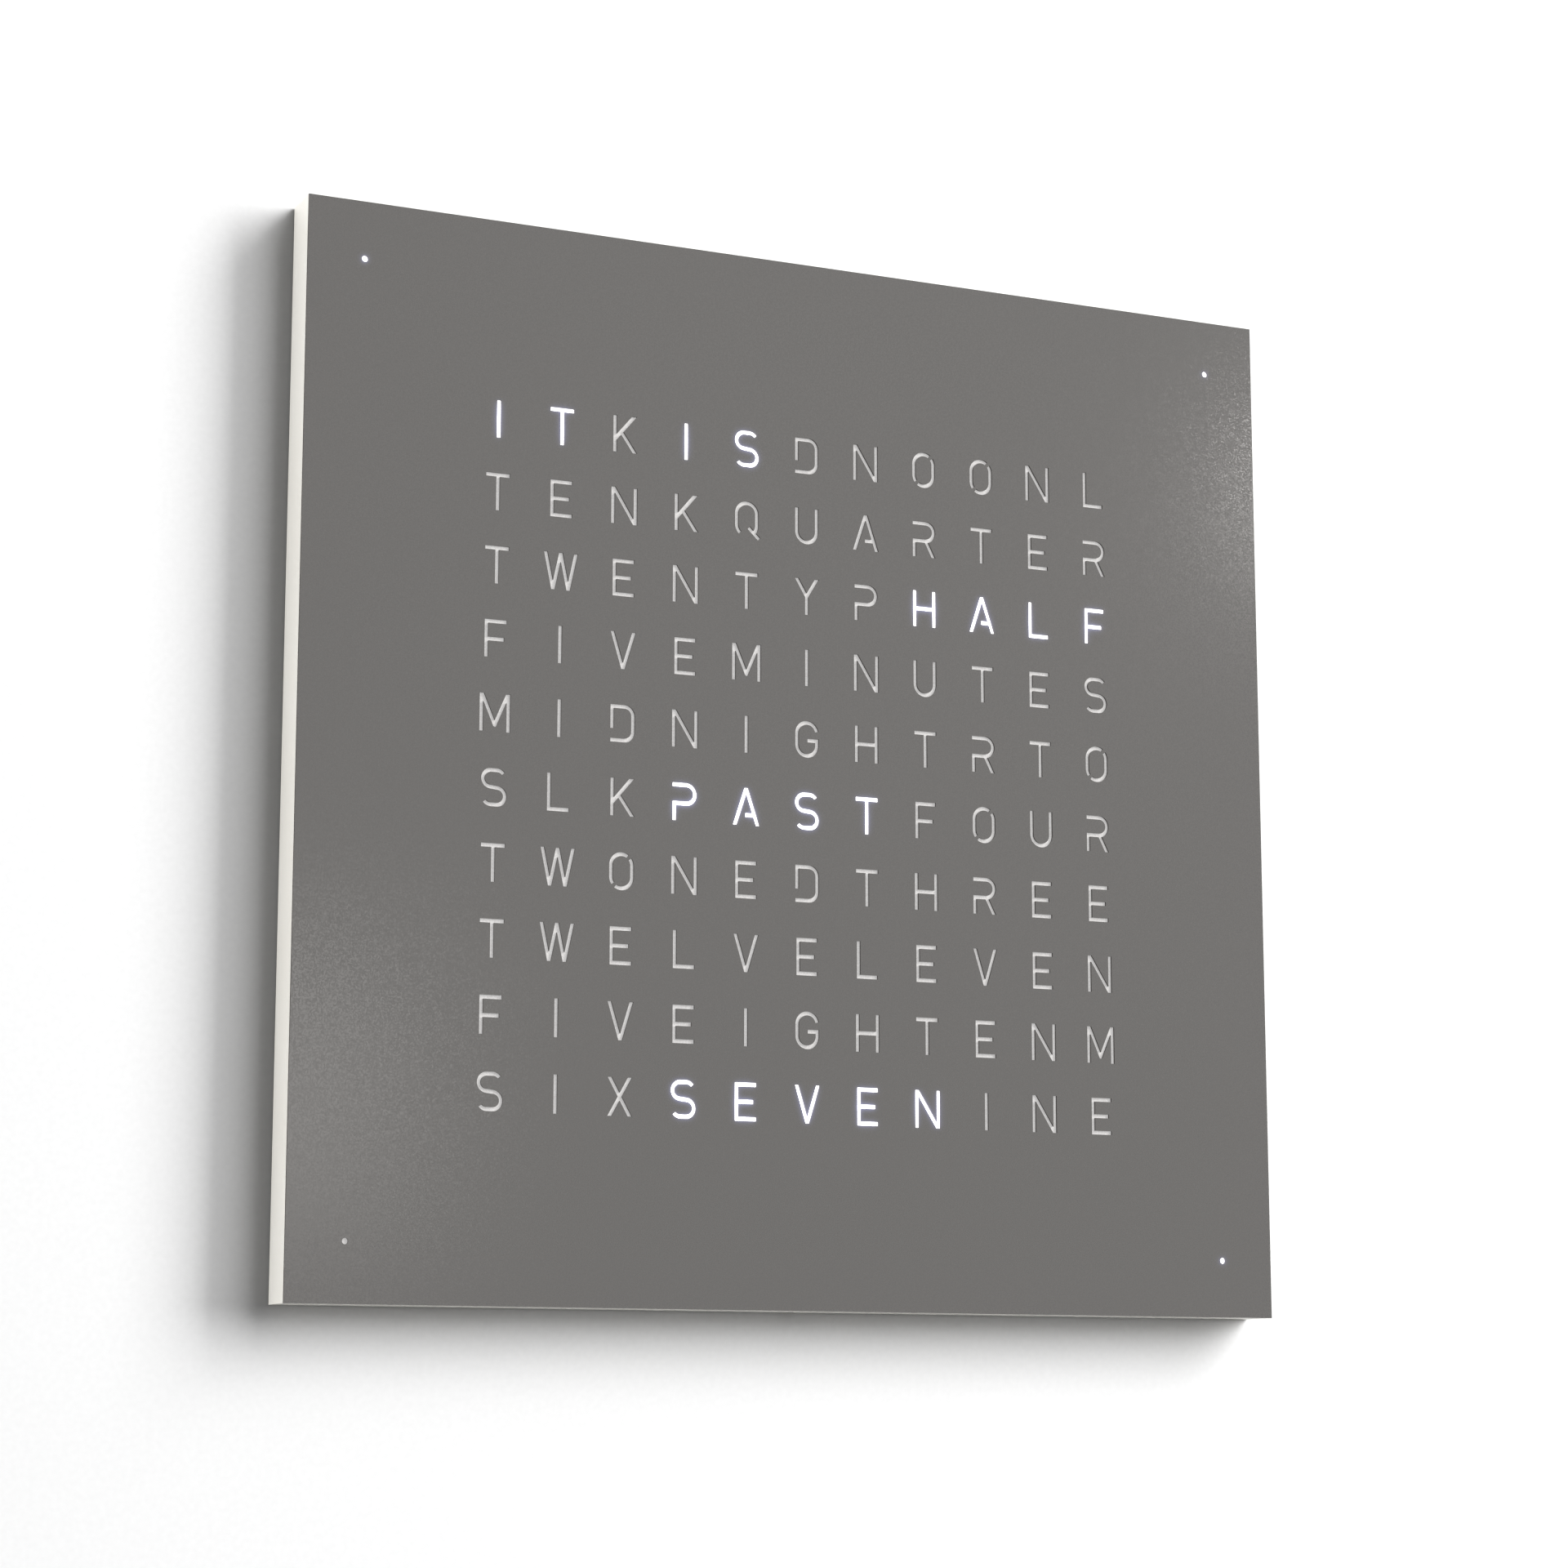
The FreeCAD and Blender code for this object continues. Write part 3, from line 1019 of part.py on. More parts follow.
# ---------------- keys
def make_keys():
    """Three keys that press on switches standing in a pocket of the right-hand rail."""
    web_inner = HALF_WIDTH - KEY_WEB
    flange_outer = web_inner - KEY_CLEARANCE
    flange_inner = flange_outer - KEY_FLANGE_THICKNESS
    front = switch_front()
    outer = HALF_WIDTH + KEY_PROUD
    bodies = []
    for name, z in key_heights().items():
        cap = rod(KEY_DIAMETER, (flange_outer, outer), KEY_Y, z)
        cap = cap.fuse(rod(KEY_FLANGE_DIAMETER, (flange_inner, flange_outer), KEY_Y, z)).removeSplitter()
        cap = cap.cut(rod(KEY_DIMPLE_DIAMETER, (outer - KEY_DIMPLE_DEPTH, outer), KEY_Y, z))
        save(f"{name}_key", cap)
        save(f"{name}_plunger", rod(PLUNGER_DIAMETER, (front - PLUNGER_SUNK, flange_inner), KEY_Y, z))
        base = block(
            (front - SWITCH_HEIGHT, front),
            (KEY_Y - SWITCH_SIZE / 2, KEY_Y + SWITCH_SIZE / 2),
            (z - SWITCH_SIZE / 2, z + SWITCH_SIZE / 2),
        )
        well = (front - PLUNGER_SUNK - KEY_TRAVEL - PLUNGER_CLEARANCE, front)
        bodies.append(base.cut(rod(PLUNGER_DIAMETER + 2 * PLUNGER_CLEARANCE, well, KEY_Y, z)))
    save("key_switches", group(bodies))

    shoulder = front - SWITCH_HEIGHT
    board_inner = shoulder - BOARD_THICKNESS
    half_y = KEY_POCKET_WIDTH / 2 - EDGE_CLEARANCE
    half_z = key_pocket()[0] - EDGE_CLEARANCE
    y = (KEY_Y - half_y, KEY_Y + half_y)
    board = block((board_inner, shoulder), y, (-KEYS_BELOW_CENTRE - half_z, -KEYS_BELOW_CENTRE + half_z))
    screws = []
    for z in key_board_screw_heights():
        board = board.cut(rod(BOLT_DIAMETER + 2 * PIN_CLEARANCE, (board_inner, shoulder), KEY_Y, z))
        shank = rod(BOLT_DIAMETER, (board_inner, shoulder + KEY_SCREW_LENGTH - EDGE_CLEARANCE), KEY_Y, z)
        head = rod(BOLT_HEAD_DIAMETER, (board_inner - BOLT_HEAD_HEIGHT, board_inner), KEY_Y, z)
        slot_x = (board_inner - BOLT_HEAD_HEIGHT, board_inner - BOLT_HEAD_HEIGHT / 2)
        slot_y = (KEY_Y - KEY_SCREW_SLOT / 2, KEY_Y + KEY_SCREW_SLOT / 2)
        slot = block(slot_x, slot_y, (z - BOLT_HEAD_DIAMETER, z + BOLT_HEAD_DIAMETER))
        screws.append(head.fuse(shank).removeSplitter().cut(slot))
    save("key_board", board)
    save("key_board_screws", group(screws))

    board_right = CONTROL_BOARD_WIDTH / 2
    control_y = (CONTROL_FRONT + CONTROL_REAR) / 2
    start_z = -KEYS_BELOW_CENTRE - 10.0
    side = (LED_BOARD_X + POCKET_X) / 2
    key_route = [
        (board_inner, KEY_Y, start_z),
        (POCKET_X - 5.0, KEY_Y, start_z),
        (side + 10.0, KEY_Y - 0.6, start_z - 11.0),
        (side + 5.0, KEY_Y - 1.4, start_z - 36.0),
        (side, control_y + 2.6, start_z - 62.0),
        (side - 20.0, control_y + 1.0, BOARD_MIDDLE - 6.0),
        (board_right + 68.0, control_y, BOARD_MIDDLE - 8.0),
        (board_right + 34.0, control_y, BOARD_MIDDLE - 3.0),
        (board_right + 14.0, control_y, BOARD_MIDDLE),
        (board_right, control_y, BOARD_MIDDLE),
    ]
    save("key_lead", lead(key_route))


os.makedirs("parts", exist_ok=True)
make_cover()
make_case()
make_case_hardware()
make_back_panel()
make_hangers()
make_light_box()
make_led_boards()
make_minute_leads()
make_control_board()
make_power_socket()
make_ribbon()
make_receiver()
make_keys()
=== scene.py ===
"""Looks of a square wall clock that tells the time in lit words.

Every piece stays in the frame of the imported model: metres, X to the right and Z up as seen from the front,
Y from the room to the wall, and the origin at the centre of the back, on the wall. Sizes in this file are in
millimetres and turned to metres where a mesh is made. Those of the room's lamps are in metres.
"""

import bpy
import numpy as np
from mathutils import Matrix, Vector


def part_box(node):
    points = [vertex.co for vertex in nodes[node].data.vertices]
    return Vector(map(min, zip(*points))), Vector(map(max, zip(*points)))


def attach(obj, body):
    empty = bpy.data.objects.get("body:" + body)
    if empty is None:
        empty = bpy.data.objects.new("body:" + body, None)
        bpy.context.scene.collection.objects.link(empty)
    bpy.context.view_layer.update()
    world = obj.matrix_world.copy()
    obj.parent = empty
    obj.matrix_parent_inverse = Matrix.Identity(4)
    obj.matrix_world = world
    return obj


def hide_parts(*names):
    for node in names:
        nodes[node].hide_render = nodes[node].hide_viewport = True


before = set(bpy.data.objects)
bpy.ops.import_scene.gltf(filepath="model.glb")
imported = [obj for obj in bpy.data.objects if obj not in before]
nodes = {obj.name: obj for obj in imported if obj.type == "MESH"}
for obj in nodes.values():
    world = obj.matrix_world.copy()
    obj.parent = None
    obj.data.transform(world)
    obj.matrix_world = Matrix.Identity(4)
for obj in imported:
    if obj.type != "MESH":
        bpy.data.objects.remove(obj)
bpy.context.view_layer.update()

# ---------------- case
# Four mitred rails of wood fibre board, glued, primed and sprayed with a satin off-white lacquer. Spraying
# leaves a faint orange peel, a very fine grain, and slow clouds where the coat is thinner.
MM = 1000.0                  # millimetres in a metre
NOISE_LOW = 0.3              # most of a noise lies between these two
NOISE_HIGH = 0.7
LACQUER_THIN = "E4E1D9"
LACQUER = "EAE8E2"
PEEL_WIDTH = 1.6             # between the bumps of the orange peel
PEEL_HEIGHT = 0.012
LACQUER_GRAIN = 0.5          # coarser than the real grain, so that it shows
CLOUD_WIDTH = 70.0


def linear(colour):
    """The linear colour of an sRGB hex value."""
    parts = [int(colour[i : i + 2], 16) / 255 for i in (0, 2, 4)]
    return [c / 12.92 if c <= 0.04045 else ((c + 0.055) / 1.055) ** 2.4 for c in parts] + [1.0]


def add(tree, kind, settings=(), links=()):
    """Adds a shader node. A setting is a property or a socket's value, and a link feeds a socket."""
    node = tree.nodes.new("ShaderNode" + kind)
    for key, value in dict(settings).items():
        if isinstance(key, str) and key in node.bl_rna.properties:
            setattr(node, key, value)
        else:
            node.inputs[key].default_value = value
    for key, socket in dict(links).items():
        tree.links.new(socket, node.inputs[key])
    return node


def material(name, **sockets):
    """A new material, its node tree, its surface shader and the place in millimetres that patterns read."""
    made = bpy.data.materials.new(name)
    made.use_nodes = True
    tree = made.node_tree
    shader = tree.nodes["Principled BSDF"]
    for socket, value in sockets.items():
        shader.inputs[socket.replace("_", " ")].default_value = value
    spot = add(tree, "TexCoord").outputs["Object"]
    place = add(tree, "VectorMath", {"operation": "SCALE", "Scale": MM}, {0: spot})
    return made, tree, shader, place.outputs[0]


def speckle(tree, place, width, detail=1.0, stretch=(1, 1, 1)):
    """Noise from 0 to 1 whose spots are about a width across, longer along an axis that is stretched."""
    spread = add(tree, "VectorMath", {"operation": "DIVIDE", 1: stretch}, {0: place})
    noise = add(tree, "TexNoise", {"Scale": 1 / width, "Detail": detail}, {"Vector": spread.outputs[0]})
    return noise.outputs["Fac"]


def blend(tree, shader, amount, low, high, socket="Base Color"):
    """Leads an amount, over the range where most of a noise lies, to a colour or a value between two ends."""
    ends = {"From Min": NOISE_LOW, "From Max": NOISE_HIGH}
    if isinstance(low, str):
        share = add(tree, "MapRange", ends, {0: amount}).outputs[0]
        colours = {"data_type": "RGBA", 6: linear(low), 7: linear(high)}
        result = add(tree, "Mix", colours, {0: share}).outputs[2]
    else:
        result = add(tree, "MapRange", ends | {"To Min": low, "To Max": high}, {0: amount}).outputs[0]
    tree.links.new(result, shader.inputs[socket])


def relief(tree, shader, pattern, height):
    """Raises the surface by a pattern's full range, in millimetres."""
    bump = add(tree, "Bump", {"Distance": height / MM}, {"Height": pattern})
    tree.links.new(bump.outputs[0], shader.inputs["Normal"])


def dress(made, *names):
    """Gives a material to CAD nodes."""
    for name in names:
        nodes[name].data.materials.clear()
        nodes[name].data.materials.append(made)


def sprayed_lacquer(name, thin, full):
    """Lacquer that wanders between two near whites. The eye sees a soft, even sheen with a little life."""
    made, tree, shader, place = material(name, Roughness=0.42)
    cloud = speckle(tree, place, CLOUD_WIDTH, detail=2.0)
    grain = speckle(tree, place, LACQUER_GRAIN)
    both = add(tree, "Math", {"operation": "ADD"}, {0: cloud, 1: grain}).outputs[0]
    mean = add(tree, "Math", {"operation": "MULTIPLY", 1: 0.5}, {0: both}).outputs[0]
    blend(tree, shader, mean, thin, full)
    relief(tree, shader, speckle(tree, place, PEEL_WIDTH, detail=1.5), PEEL_HEIGHT)
    return made


lacquer = sprayed_lacquer("satin_lacquer_sprayed", LACQUER_THIN, LACQUER)
dress(lacquer, "frame_rail_left", "frame_rail_right", "frame_rail_top", "frame_rail_bottom")

# ---------------- magnets and bushes
# Twelve nickel-plated magnets are glued into the front of the rails to hold the cover, and four turned brass
# bushes are pressed in to take its pins. The plating leaves the rim of each magnet a little round.
NICKEL = ("AFAAA0", "D2CEC4")
BRASS = ("A98445", "CDAA68")
PLATING_WIDTH = 0.9          # of the faint patches in plated and turned metal
MAGNET_RADIUS = 4.0
MAGNET_EDGE = 0.35           # round on each rim
MAGNET_PLACES = (-160.0, 0.0, 160.0)    # along each rail, from its middle
MAGNET_ROW = 220.0           # from the middle of the clock to the magnets of a rail
ROUND_STEPS = 6
TURN_STEPS = 64
POLE = 0.05                  # radius of the small flat that closes a turned piece at its axis
SHARP_ANGLE = 0.6            # radians between faces, from which an edge stays crisp


def extent(node):
    """The lowest and the highest corner of a CAD node at rest, in mm."""
    return [np.array(corner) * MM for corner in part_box(node)]


def metal(name, colours, roughness, width, height, stretch=(1, 1, 1)):
    """Bare or plated metal: its colour and gloss wander a little over a width, with a fine relief."""
    made, tree, shader, place = material(name, Metallic=1.0)
    cloud = speckle(tree, place, width, detail=3.0, stretch=stretch)
    blend(tree, shader, cloud, *colours)
    blend(tree, shader, cloud, *roughness, socket="Roughness")
    relief(tree, shader, speckle(tree, place, width / 3, stretch=stretch), height)
    return made


def surface(name, grids, loop=False):
    """A mesh from grids of points in mm, shape (..., n, m, 3), as quads between neighbours.

    The second way (m) is closed. The first is closed too as a loop, or else with a face at each end."""
    n, m = grids.shape[-3:-1]
    index = np.arange(grids.size // 3).reshape(-1, n, m)
    ends = [] if loop else index[:, 0, ::-1].tolist() + index[:, -1].tolist()
    if loop:
        index = np.concatenate([index, index[:, :1]], axis=1)
    after = np.roll(index, -1, axis=2)
    quads = np.stack([index[:, :-1], after[:, :-1], after[:, 1:], index[:, 1:]], axis=-1).reshape(-1, 4)
    mesh = bpy.data.meshes.new(name)
    mesh.from_pydata((grids.reshape(-1, 3) / MM).tolist(), [], quads.tolist() + ends)
    mesh.update()
    piece = bpy.data.objects.new(name, mesh)
    bpy.context.scene.collection.objects.link(piece)
    return piece


def rounded(corners, radii):
    """A profile of (along, out) points whose inner corners are each replaced by a round of a given radius.

    A round is a quadratic curve that leaves each side at the radius from the corner."""
    corners = np.array(corners, float)
    share = np.linspace(0, 1, ROUND_STEPS)[:, None]
    points = [corners[:1]]
    for before, corner, after, radius in zip(corners, corners[1:], corners[2:], radii):
        start = corner + (before - corner) / np.linalg.norm(before - corner) * radius
        end = corner + (after - corner) / np.linalg.norm(after - corner) * radius
        points.append((1 - share) ** 2 * start + 2 * share * (1 - share) * corner + share**2 * end)
    return np.concatenate(points + [corners[-1:]])


def turned(profile, along, steps=TURN_STEPS, stretch=0.0):
    """Surface of revolution: profile points (along, out) in mm swept round an axis through the origin.

    The point at angle a is along * axis + out * (cos a * side + sin a * up), moved by the stretch to the
    side that it is on, which gives a turned piece two flats between round ends."""
    axis = np.array(along, float)
    side = np.array((0.0, 0.0, 1.0) if axis[0] else (1.0, 0.0, 0.0))
    up = np.cross(axis, side)
    angle = np.linspace(0, 2 * np.pi, steps, endpoint=False)[:, None]
    ring = np.cos(angle) * side + np.sin(angle) * up
    apart = np.sign(np.cos(angle)) * stretch * side
    return profile[:, :1, None] * axis + profile[:, 1:, None] * ring + apart


def finish_piece(piece, made, body, slot, *replaced):
    """Dresses a new piece, hangs it on its body and lets it stand for the CAD nodes that it replaces."""
    piece.data.materials.append(made)
    piece.data.shade_smooth()
    piece.data.set_sharp_from_angle(angle=SHARP_ANGLE)
    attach(piece, body)
    if replaced:
        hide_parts(*replaced)


# Plated nickel is a warm, bright grey that mirrors the room a little blurred. Turned brass gleams yellow.
nickel = metal("nickel_plated_magnet", NICKEL, roughness=(0.16, 0.26), width=PLATING_WIDTH, height=0.002)
brass = metal("brass_turned", BRASS, roughness=(0.22, 0.36), width=PLATING_WIDTH, height=0.003)
magnets_low, magnets_high = extent("holding_magnets")
sunk, face = -magnets_high[1], -magnets_low[1]    # from the wall to the rear and the front of a magnet
magnet_corners = [(sunk, POLE), (sunk, MAGNET_RADIUS), (face, MAGNET_RADIUS), (face, POLE)]
magnet = turned(rounded(magnet_corners, (MAGNET_EDGE, MAGNET_EDGE)), (0, -1, 0))
level_rails = [(along, 0.0, rail) for along in MAGNET_PLACES for rail in (-MAGNET_ROW, MAGNET_ROW)]
magnet_places = np.array(level_rails + [place[::-1] for place in level_rails])[:, None, None]
magnets = surface("holding_magnets_plated", magnet + magnet_places)
finish_piece(magnets, nickel, "case", "nickel_magnet", "holding_magnets")
dress(brass, "pin_bushes")

# ---------------- back panel
# Hardboard, pressed smooth on the side that shows, screwed into the rear rebate. Its short wood fibres run
# every way, so the eye sees a brown felt of light and dark hairs under a dull polish.
HARDBOARD = ("54432F", "7A644C")
HARDBOARD_ROUGHNESS = (0.62, 0.45)    # between the fibres and on them
FIBRE_WIDTH = 0.55           # coarser than real fibres, so that they show
FIBRE_LENGTH = 7.0           # times as long as wide
FIBRE_RISE = 0.03
STAIN_WIDTH = 38.0
STAIN_SHARE = 0.35           # of the stains in the colour, and the rest is felt


def hardboard():
    """Three noises make the board: fibres along X, fibres along Z, and broad stains from the press."""
    made, tree, shader, place = material("hardboard_pressed")
    level = speckle(tree, place, FIBRE_WIDTH, detail=2.0, stretch=(FIBRE_LENGTH, 1, 1))
    upright = speckle(tree, place, FIBRE_WIDTH, detail=2.0, stretch=(1, 1, FIBRE_LENGTH))
    felt = add(tree, "Math", {"operation": "MAXIMUM"}, {0: level, 1: upright}).outputs[0]
    stain = speckle(tree, place, STAIN_WIDTH, detail=4.0)
    mixed = add(tree, "Mix", {"data_type": "FLOAT", 0: STAIN_SHARE}, {2: felt, 3: stain}).outputs[0]
    blend(tree, shader, mixed, *HARDBOARD)
    blend(tree, shader, felt, *HARDBOARD_ROUGHNESS, socket="Roughness")
    relief(tree, shader, felt, FIBRE_RISE)
    return made


# Zinc plating is a cool light grey with faint patches, duller than nickel.
ZINC = ("AEB2B4", "D3D5D4")
zinc = metal("zinc_plated_steel", ZINC, roughness=(0.24, 0.40), width=1.3, height=0.003)
dress(hardboard(), "back_panel")
dress(zinc, "back_panel_screws")

# ---------------- hangers
# Two stainless steel plates with a keyhole each, stamped from sheet that was brushed along its length, and
# screwed into recesses so that they lie flush with the back. The brushing draws light out across its marks.
STAINLESS = ("9FA1A2", "C0C2C3")
BRUSH_WIDTH = 0.16           # between brush marks, coarser than real ones so that they show
BRUSH_LENGTH = 60.0          # times as long as wide
brushed = metal(
    "stainless_steel_brushed",
    STAINLESS,
    roughness=(0.26, 0.42),
    width=BRUSH_WIDTH,
    height=0.004,
    stretch=(BRUSH_LENGTH, 1, 1),
)
dress(brushed, "hanger_plate_left", "hanger_plate_right")
dress(zinc, "hanger_screws")

# ---------------- light boards
# White lacquered circuit boards carry one white package with a yellow phosphor window behind each letter and
# each minute dot. The lit words and dots glow, and the others stay dark.
COLUMN_PITCH = 28.2
ROW_PITCH = 31.0
COLUMNS = 11
ROWS = 10
LIT_WORDS = ((0, 0, 1), (0, 3, 4), (2, 7, 10), (5, 3, 6), (9, 3, 7))    # row, first column, last column
DOT_PLACE = 200.5            # from the middle of the clock to a minute dot, both ways
LIT_DOTS = ((-1, 1), (1, 1), (1, -1))
WELL_RADIUS = 6.0
MASK_WHITE = ("DDDFD8", "E9EAE4")
TRACE_WHITE = "F1F2EC"
SOLDER = "B9BBB8"
MASK_CLOUD = 6.0             # width of the faint clouds in the solder mask
COPPER_RISE = 0.035
TRACE_PITCH = 1.27           # between tracks
TRACE_HALF = 0.14            # half a track's width as a share of the pitch
LEVEL_RUN = (9, 1)           # a straight stretch along X, in pitches each way
UPRIGHT_RUN = (1, 6)         # a straight stretch along Z
LEVEL_SHARE = 0.5            # of the stretches that hold a track
UPRIGHT_SHARE = 0.35
PAD_REACH = 0.36             # a pad's radius as a share of the pitch
PAD_SHARE = 0.1              # of the cells that hold a pad
MIDDLE = (0.5, 0.5, 0.5)     # of a cell that runs from 0 to 1 each way
PACKAGE_WHITE = ("E4DFD2", "F1EDE2")
PACKAGE_GRAIN = 0.8
PHOSPHOR = "E8C24E"
WINDOW_DEPTH = 0.3
LED_GLOW = 12.0
LED_LIGHT = "F4F6FF"


def lit_share(tree, place):
    """1 in the boxes of the lit words and the round wells of the lit dots, else 0, and the x, y and z."""
    axes = add(tree, "SeparateXYZ", {}, {0: place})
    flat = add(tree, "VectorMath", {"operation": "MULTIPLY", 1: (1, 0, 1)}, {0: place}).outputs[0]
    lit = []
    for row, first, last in LIT_WORDS:
        middle = ((first + last) / 2 - (COLUMNS - 1) / 2) * COLUMN_PITCH
        height = ((ROWS - 1) / 2 - row) * ROW_PITCH
        near = {"operation": "COMPARE", 1: middle, 2: (last - first + 1) * COLUMN_PITCH / 2}
        level = {"operation": "COMPARE", 1: height, 2: ROW_PITCH / 2}
        in_width = add(tree, "Math", near, {0: axes.outputs["X"]}).outputs[0]
        in_height = add(tree, "Math", level, {0: axes.outputs["Z"]}).outputs[0]
        lit.append(add(tree, "Math", {"operation": "MULTIPLY"}, {0: in_width, 1: in_height}).outputs[0])
    for side, end in LIT_DOTS:
        centre = {"operation": "DISTANCE", 1: (side * DOT_PLACE, 0, end * DOT_PLACE)}
        away = add(tree, "VectorMath", centre, {0: flat}).outputs["Value"]
        lit.append(add(tree, "Math", {"operation": "LESS_THAN", 1: WELL_RADIUS}, {0: away}).outputs[0])
    total = lit[0]
    for share in lit[1:]:
        total = add(tree, "Math", {"operation": "ADD"}, {0: total, 1: share}).outputs[0]
    return total, axes


def circuit_board(name, mask, trace):
    """Glossy solder mask over copper: straight tracks along two ways, and round pads at through holes.

    A track is where a coordinate is near a line of the grid and the random number of its stretch is under a
    share. A pad is a disc in a cell of one pitch."""
    made, tree, shader, place = material(name, Roughness=0.35)
    shapes = []
    for (run_x, run_z), near, reach, share in (
        (LEVEL_RUN, (0, 0, 1), TRACE_HALF, LEVEL_SHARE),
        (UPRIGHT_RUN, (1, 0, 0), TRACE_HALF, UPRIGHT_SHARE),
        ((1, 1), (1, 0, 1), PAD_REACH, PAD_SHARE),
    ):
        spread = {"operation": "DIVIDE", 1: (run_x * TRACE_PITCH, MM, run_z * TRACE_PITCH)}
        cell = add(tree, "VectorMath", spread, {0: place}).outputs[0]
        cell = add(tree, "VectorMath", {"operation": "FLOOR"}, {0: cell}).outputs[0]
        draw = add(tree, "TexWhiteNoise", {}, {"Vector": cell}).outputs["Value"]
        present = add(tree, "Math", {"operation": "LESS_THAN", 1: share}, {0: draw}).outputs[0]
        spread = {"operation": "DIVIDE", 1: (TRACE_PITCH, MM, TRACE_PITCH)}
        part = add(tree, "VectorMath", spread, {0: place}).outputs[0]
        part = add(tree, "VectorMath", {"operation": "FRACTION"}, {0: part}).outputs[0]
        part = add(tree, "VectorMath", {"operation": "SUBTRACT", 1: MIDDLE}, {0: part}).outputs[0]
        part = add(tree, "VectorMath", {"operation": "MULTIPLY", 1: near}, {0: part}).outputs[0]
        away = add(tree, "VectorMath", {"operation": "LENGTH"}, {0: part}).outputs["Value"]
        inside = add(tree, "Math", {"operation": "LESS_THAN", 1: reach}, {0: away}).outputs[0]
        shapes.append(add(tree, "Math", {"operation": "MULTIPLY"}, {0: present, 1: inside}).outputs[0])
    level, upright, pad = shapes
    track = add(tree, "Math", {"operation": "MAXIMUM"}, {0: level, 1: upright}).outputs[0]
    raised = add(tree, "Math", {"operation": "MAXIMUM"}, {0: track, 1: pad}).outputs[0]
    ends = {"data_type": "RGBA", 6: linear(mask[0]), 7: linear(mask[1])}
    base = add(tree, "Mix", ends, {0: speckle(tree, place, MASK_CLOUD, detail=2.0)}).outputs[2]
    colour = add(tree, "Mix", {"data_type": "RGBA", 7: linear(trace)}, {0: track, 6: base}).outputs[2]
    colour = add(tree, "Mix", {"data_type": "RGBA", 7: linear(SOLDER)}, {0: pad, 6: colour}).outputs[2]
    tree.links.new(colour, shader.inputs["Base Color"])
    relief(tree, shader, raised, COPPER_RISE)
    return made


def led_package(name, front):
    """White moulded package whose sunk round window holds yellow phosphor, which glows where it is lit."""
    made, tree, shader, place = material(name, Roughness=0.38)
    lit, axes = lit_share(tree, place)
    floor_of_window = {"operation": "COMPARE", 1: front + WINDOW_DEPTH, 2: WINDOW_DEPTH / 4}
    window = add(tree, "Math", floor_of_window, {0: axes.outputs["Y"]}).outputs[0]
    ends = {"data_type": "RGBA", 6: linear(PACKAGE_WHITE[0]), 7: linear(PACKAGE_WHITE[1])}
    base = add(tree, "Mix", ends, {0: speckle(tree, place, PACKAGE_GRAIN)}).outputs[2]
    colour = add(tree, "Mix", {"data_type": "RGBA", 7: linear(PHOSPHOR)}, {0: window, 6: base}).outputs[2]
    tree.links.new(colour, shader.inputs["Base Color"])
    both = add(tree, "Math", {"operation": "MULTIPLY"}, {0: lit, 1: window}).outputs[0]
    glow = add(tree, "Math", {"operation": "MULTIPLY", 1: LED_GLOW}, {0: both}).outputs[0]
    shader.inputs["Emission Color"].default_value = linear(LED_LIGHT)
    tree.links.new(glow, shader.inputs["Emission Strength"])
    return made


white_board = circuit_board("white_solder_mask", MASK_WHITE, TRACE_WHITE)
dress(white_board, "led_board", "minute_led_boards")
for node in ("letter_leds", "minute_leds"):
    dress(led_package(f"{node}_package_moulded", extent(node)[0][1]), node)
dress(zinc, "led_board_bolts", "led_board_nuts")

MOULD_CLOUD = 9.0            # width of the faint clouds in moulded plastic
NYLON = ("D8D5CC", "E6E3DB")
BLACK = ("17171A", "242427")
FOAM = ("2B2B2C", "454546")


def moulded(name, colours, roughness, grain, height):
    """Moulded plastic: a faint cloud in its colour, and the fine even grain that an etched mould gives."""
    made, tree, shader, place = material(name, Roughness=roughness)
    blend(tree, shader, speckle(tree, place, MOULD_CLOUD, detail=2.0), *colours)
    relief(tree, shader, speckle(tree, place, grain), height)
    return made


# Nylon looks waxy and a little yellow, black ABS has an even matt grain, and foam swallows nearly all light.
white_nylon = moulded("nylon_white_moulded", NYLON, roughness=0.45, grain=0.4, height=0.008)
black_plastic = moulded("abs_black_moulded", BLACK, roughness=0.5, grain=0.35, height=0.012)
foam = moulded("foam_closed_cell", FOAM, roughness=0.95, grain=0.7, height=0.18)
dress(white_nylon, "led_board_spacers", "minute_light_wells")
dress(black_plastic, "light_sensor")
dress(foam, "minute_board_pads")

# ---------------- baffles
# Slotted strips of coated white card cross like an egg crate and keep each letter's light in its own cell.
# They are pushed together by hand. The coating is matt, so the eye sees an even, chalky white.
CARD = ("DAD7CF", "ECEAE4")
card = moulded("card_matt_coated", CARD, roughness=0.8, grain=0.25, height=0.02)
dress(card, "upright_baffles", "level_baffles")

# ---------------- opal sheet
# One sheet of opal acrylic lies on the baffles and closes every letter from behind. It has a satin face with
# a fine grain; a lit cell shines through it, brightest before its light and weaker towards the baffles.
# The dark cells carry an even painted glow that stands in for the room's light falling on them.
OPAL = ("8C8987", "A19E9B")
OPAL_GRAIN = 0.45            # coarser than the satin's own, so that it shows
OPAL_GLOW = 3.4
PAINTED_GLOW_DARK_CELLS = 0.47            # painted glow in the dark cells, which stands in for the room's light on them
GLOW = ("EFECEB", "FFFFFF")
CELL_REACH = 21.0            # from a light to where its glow has fallen to the least
CELL_LEAST = 0.35


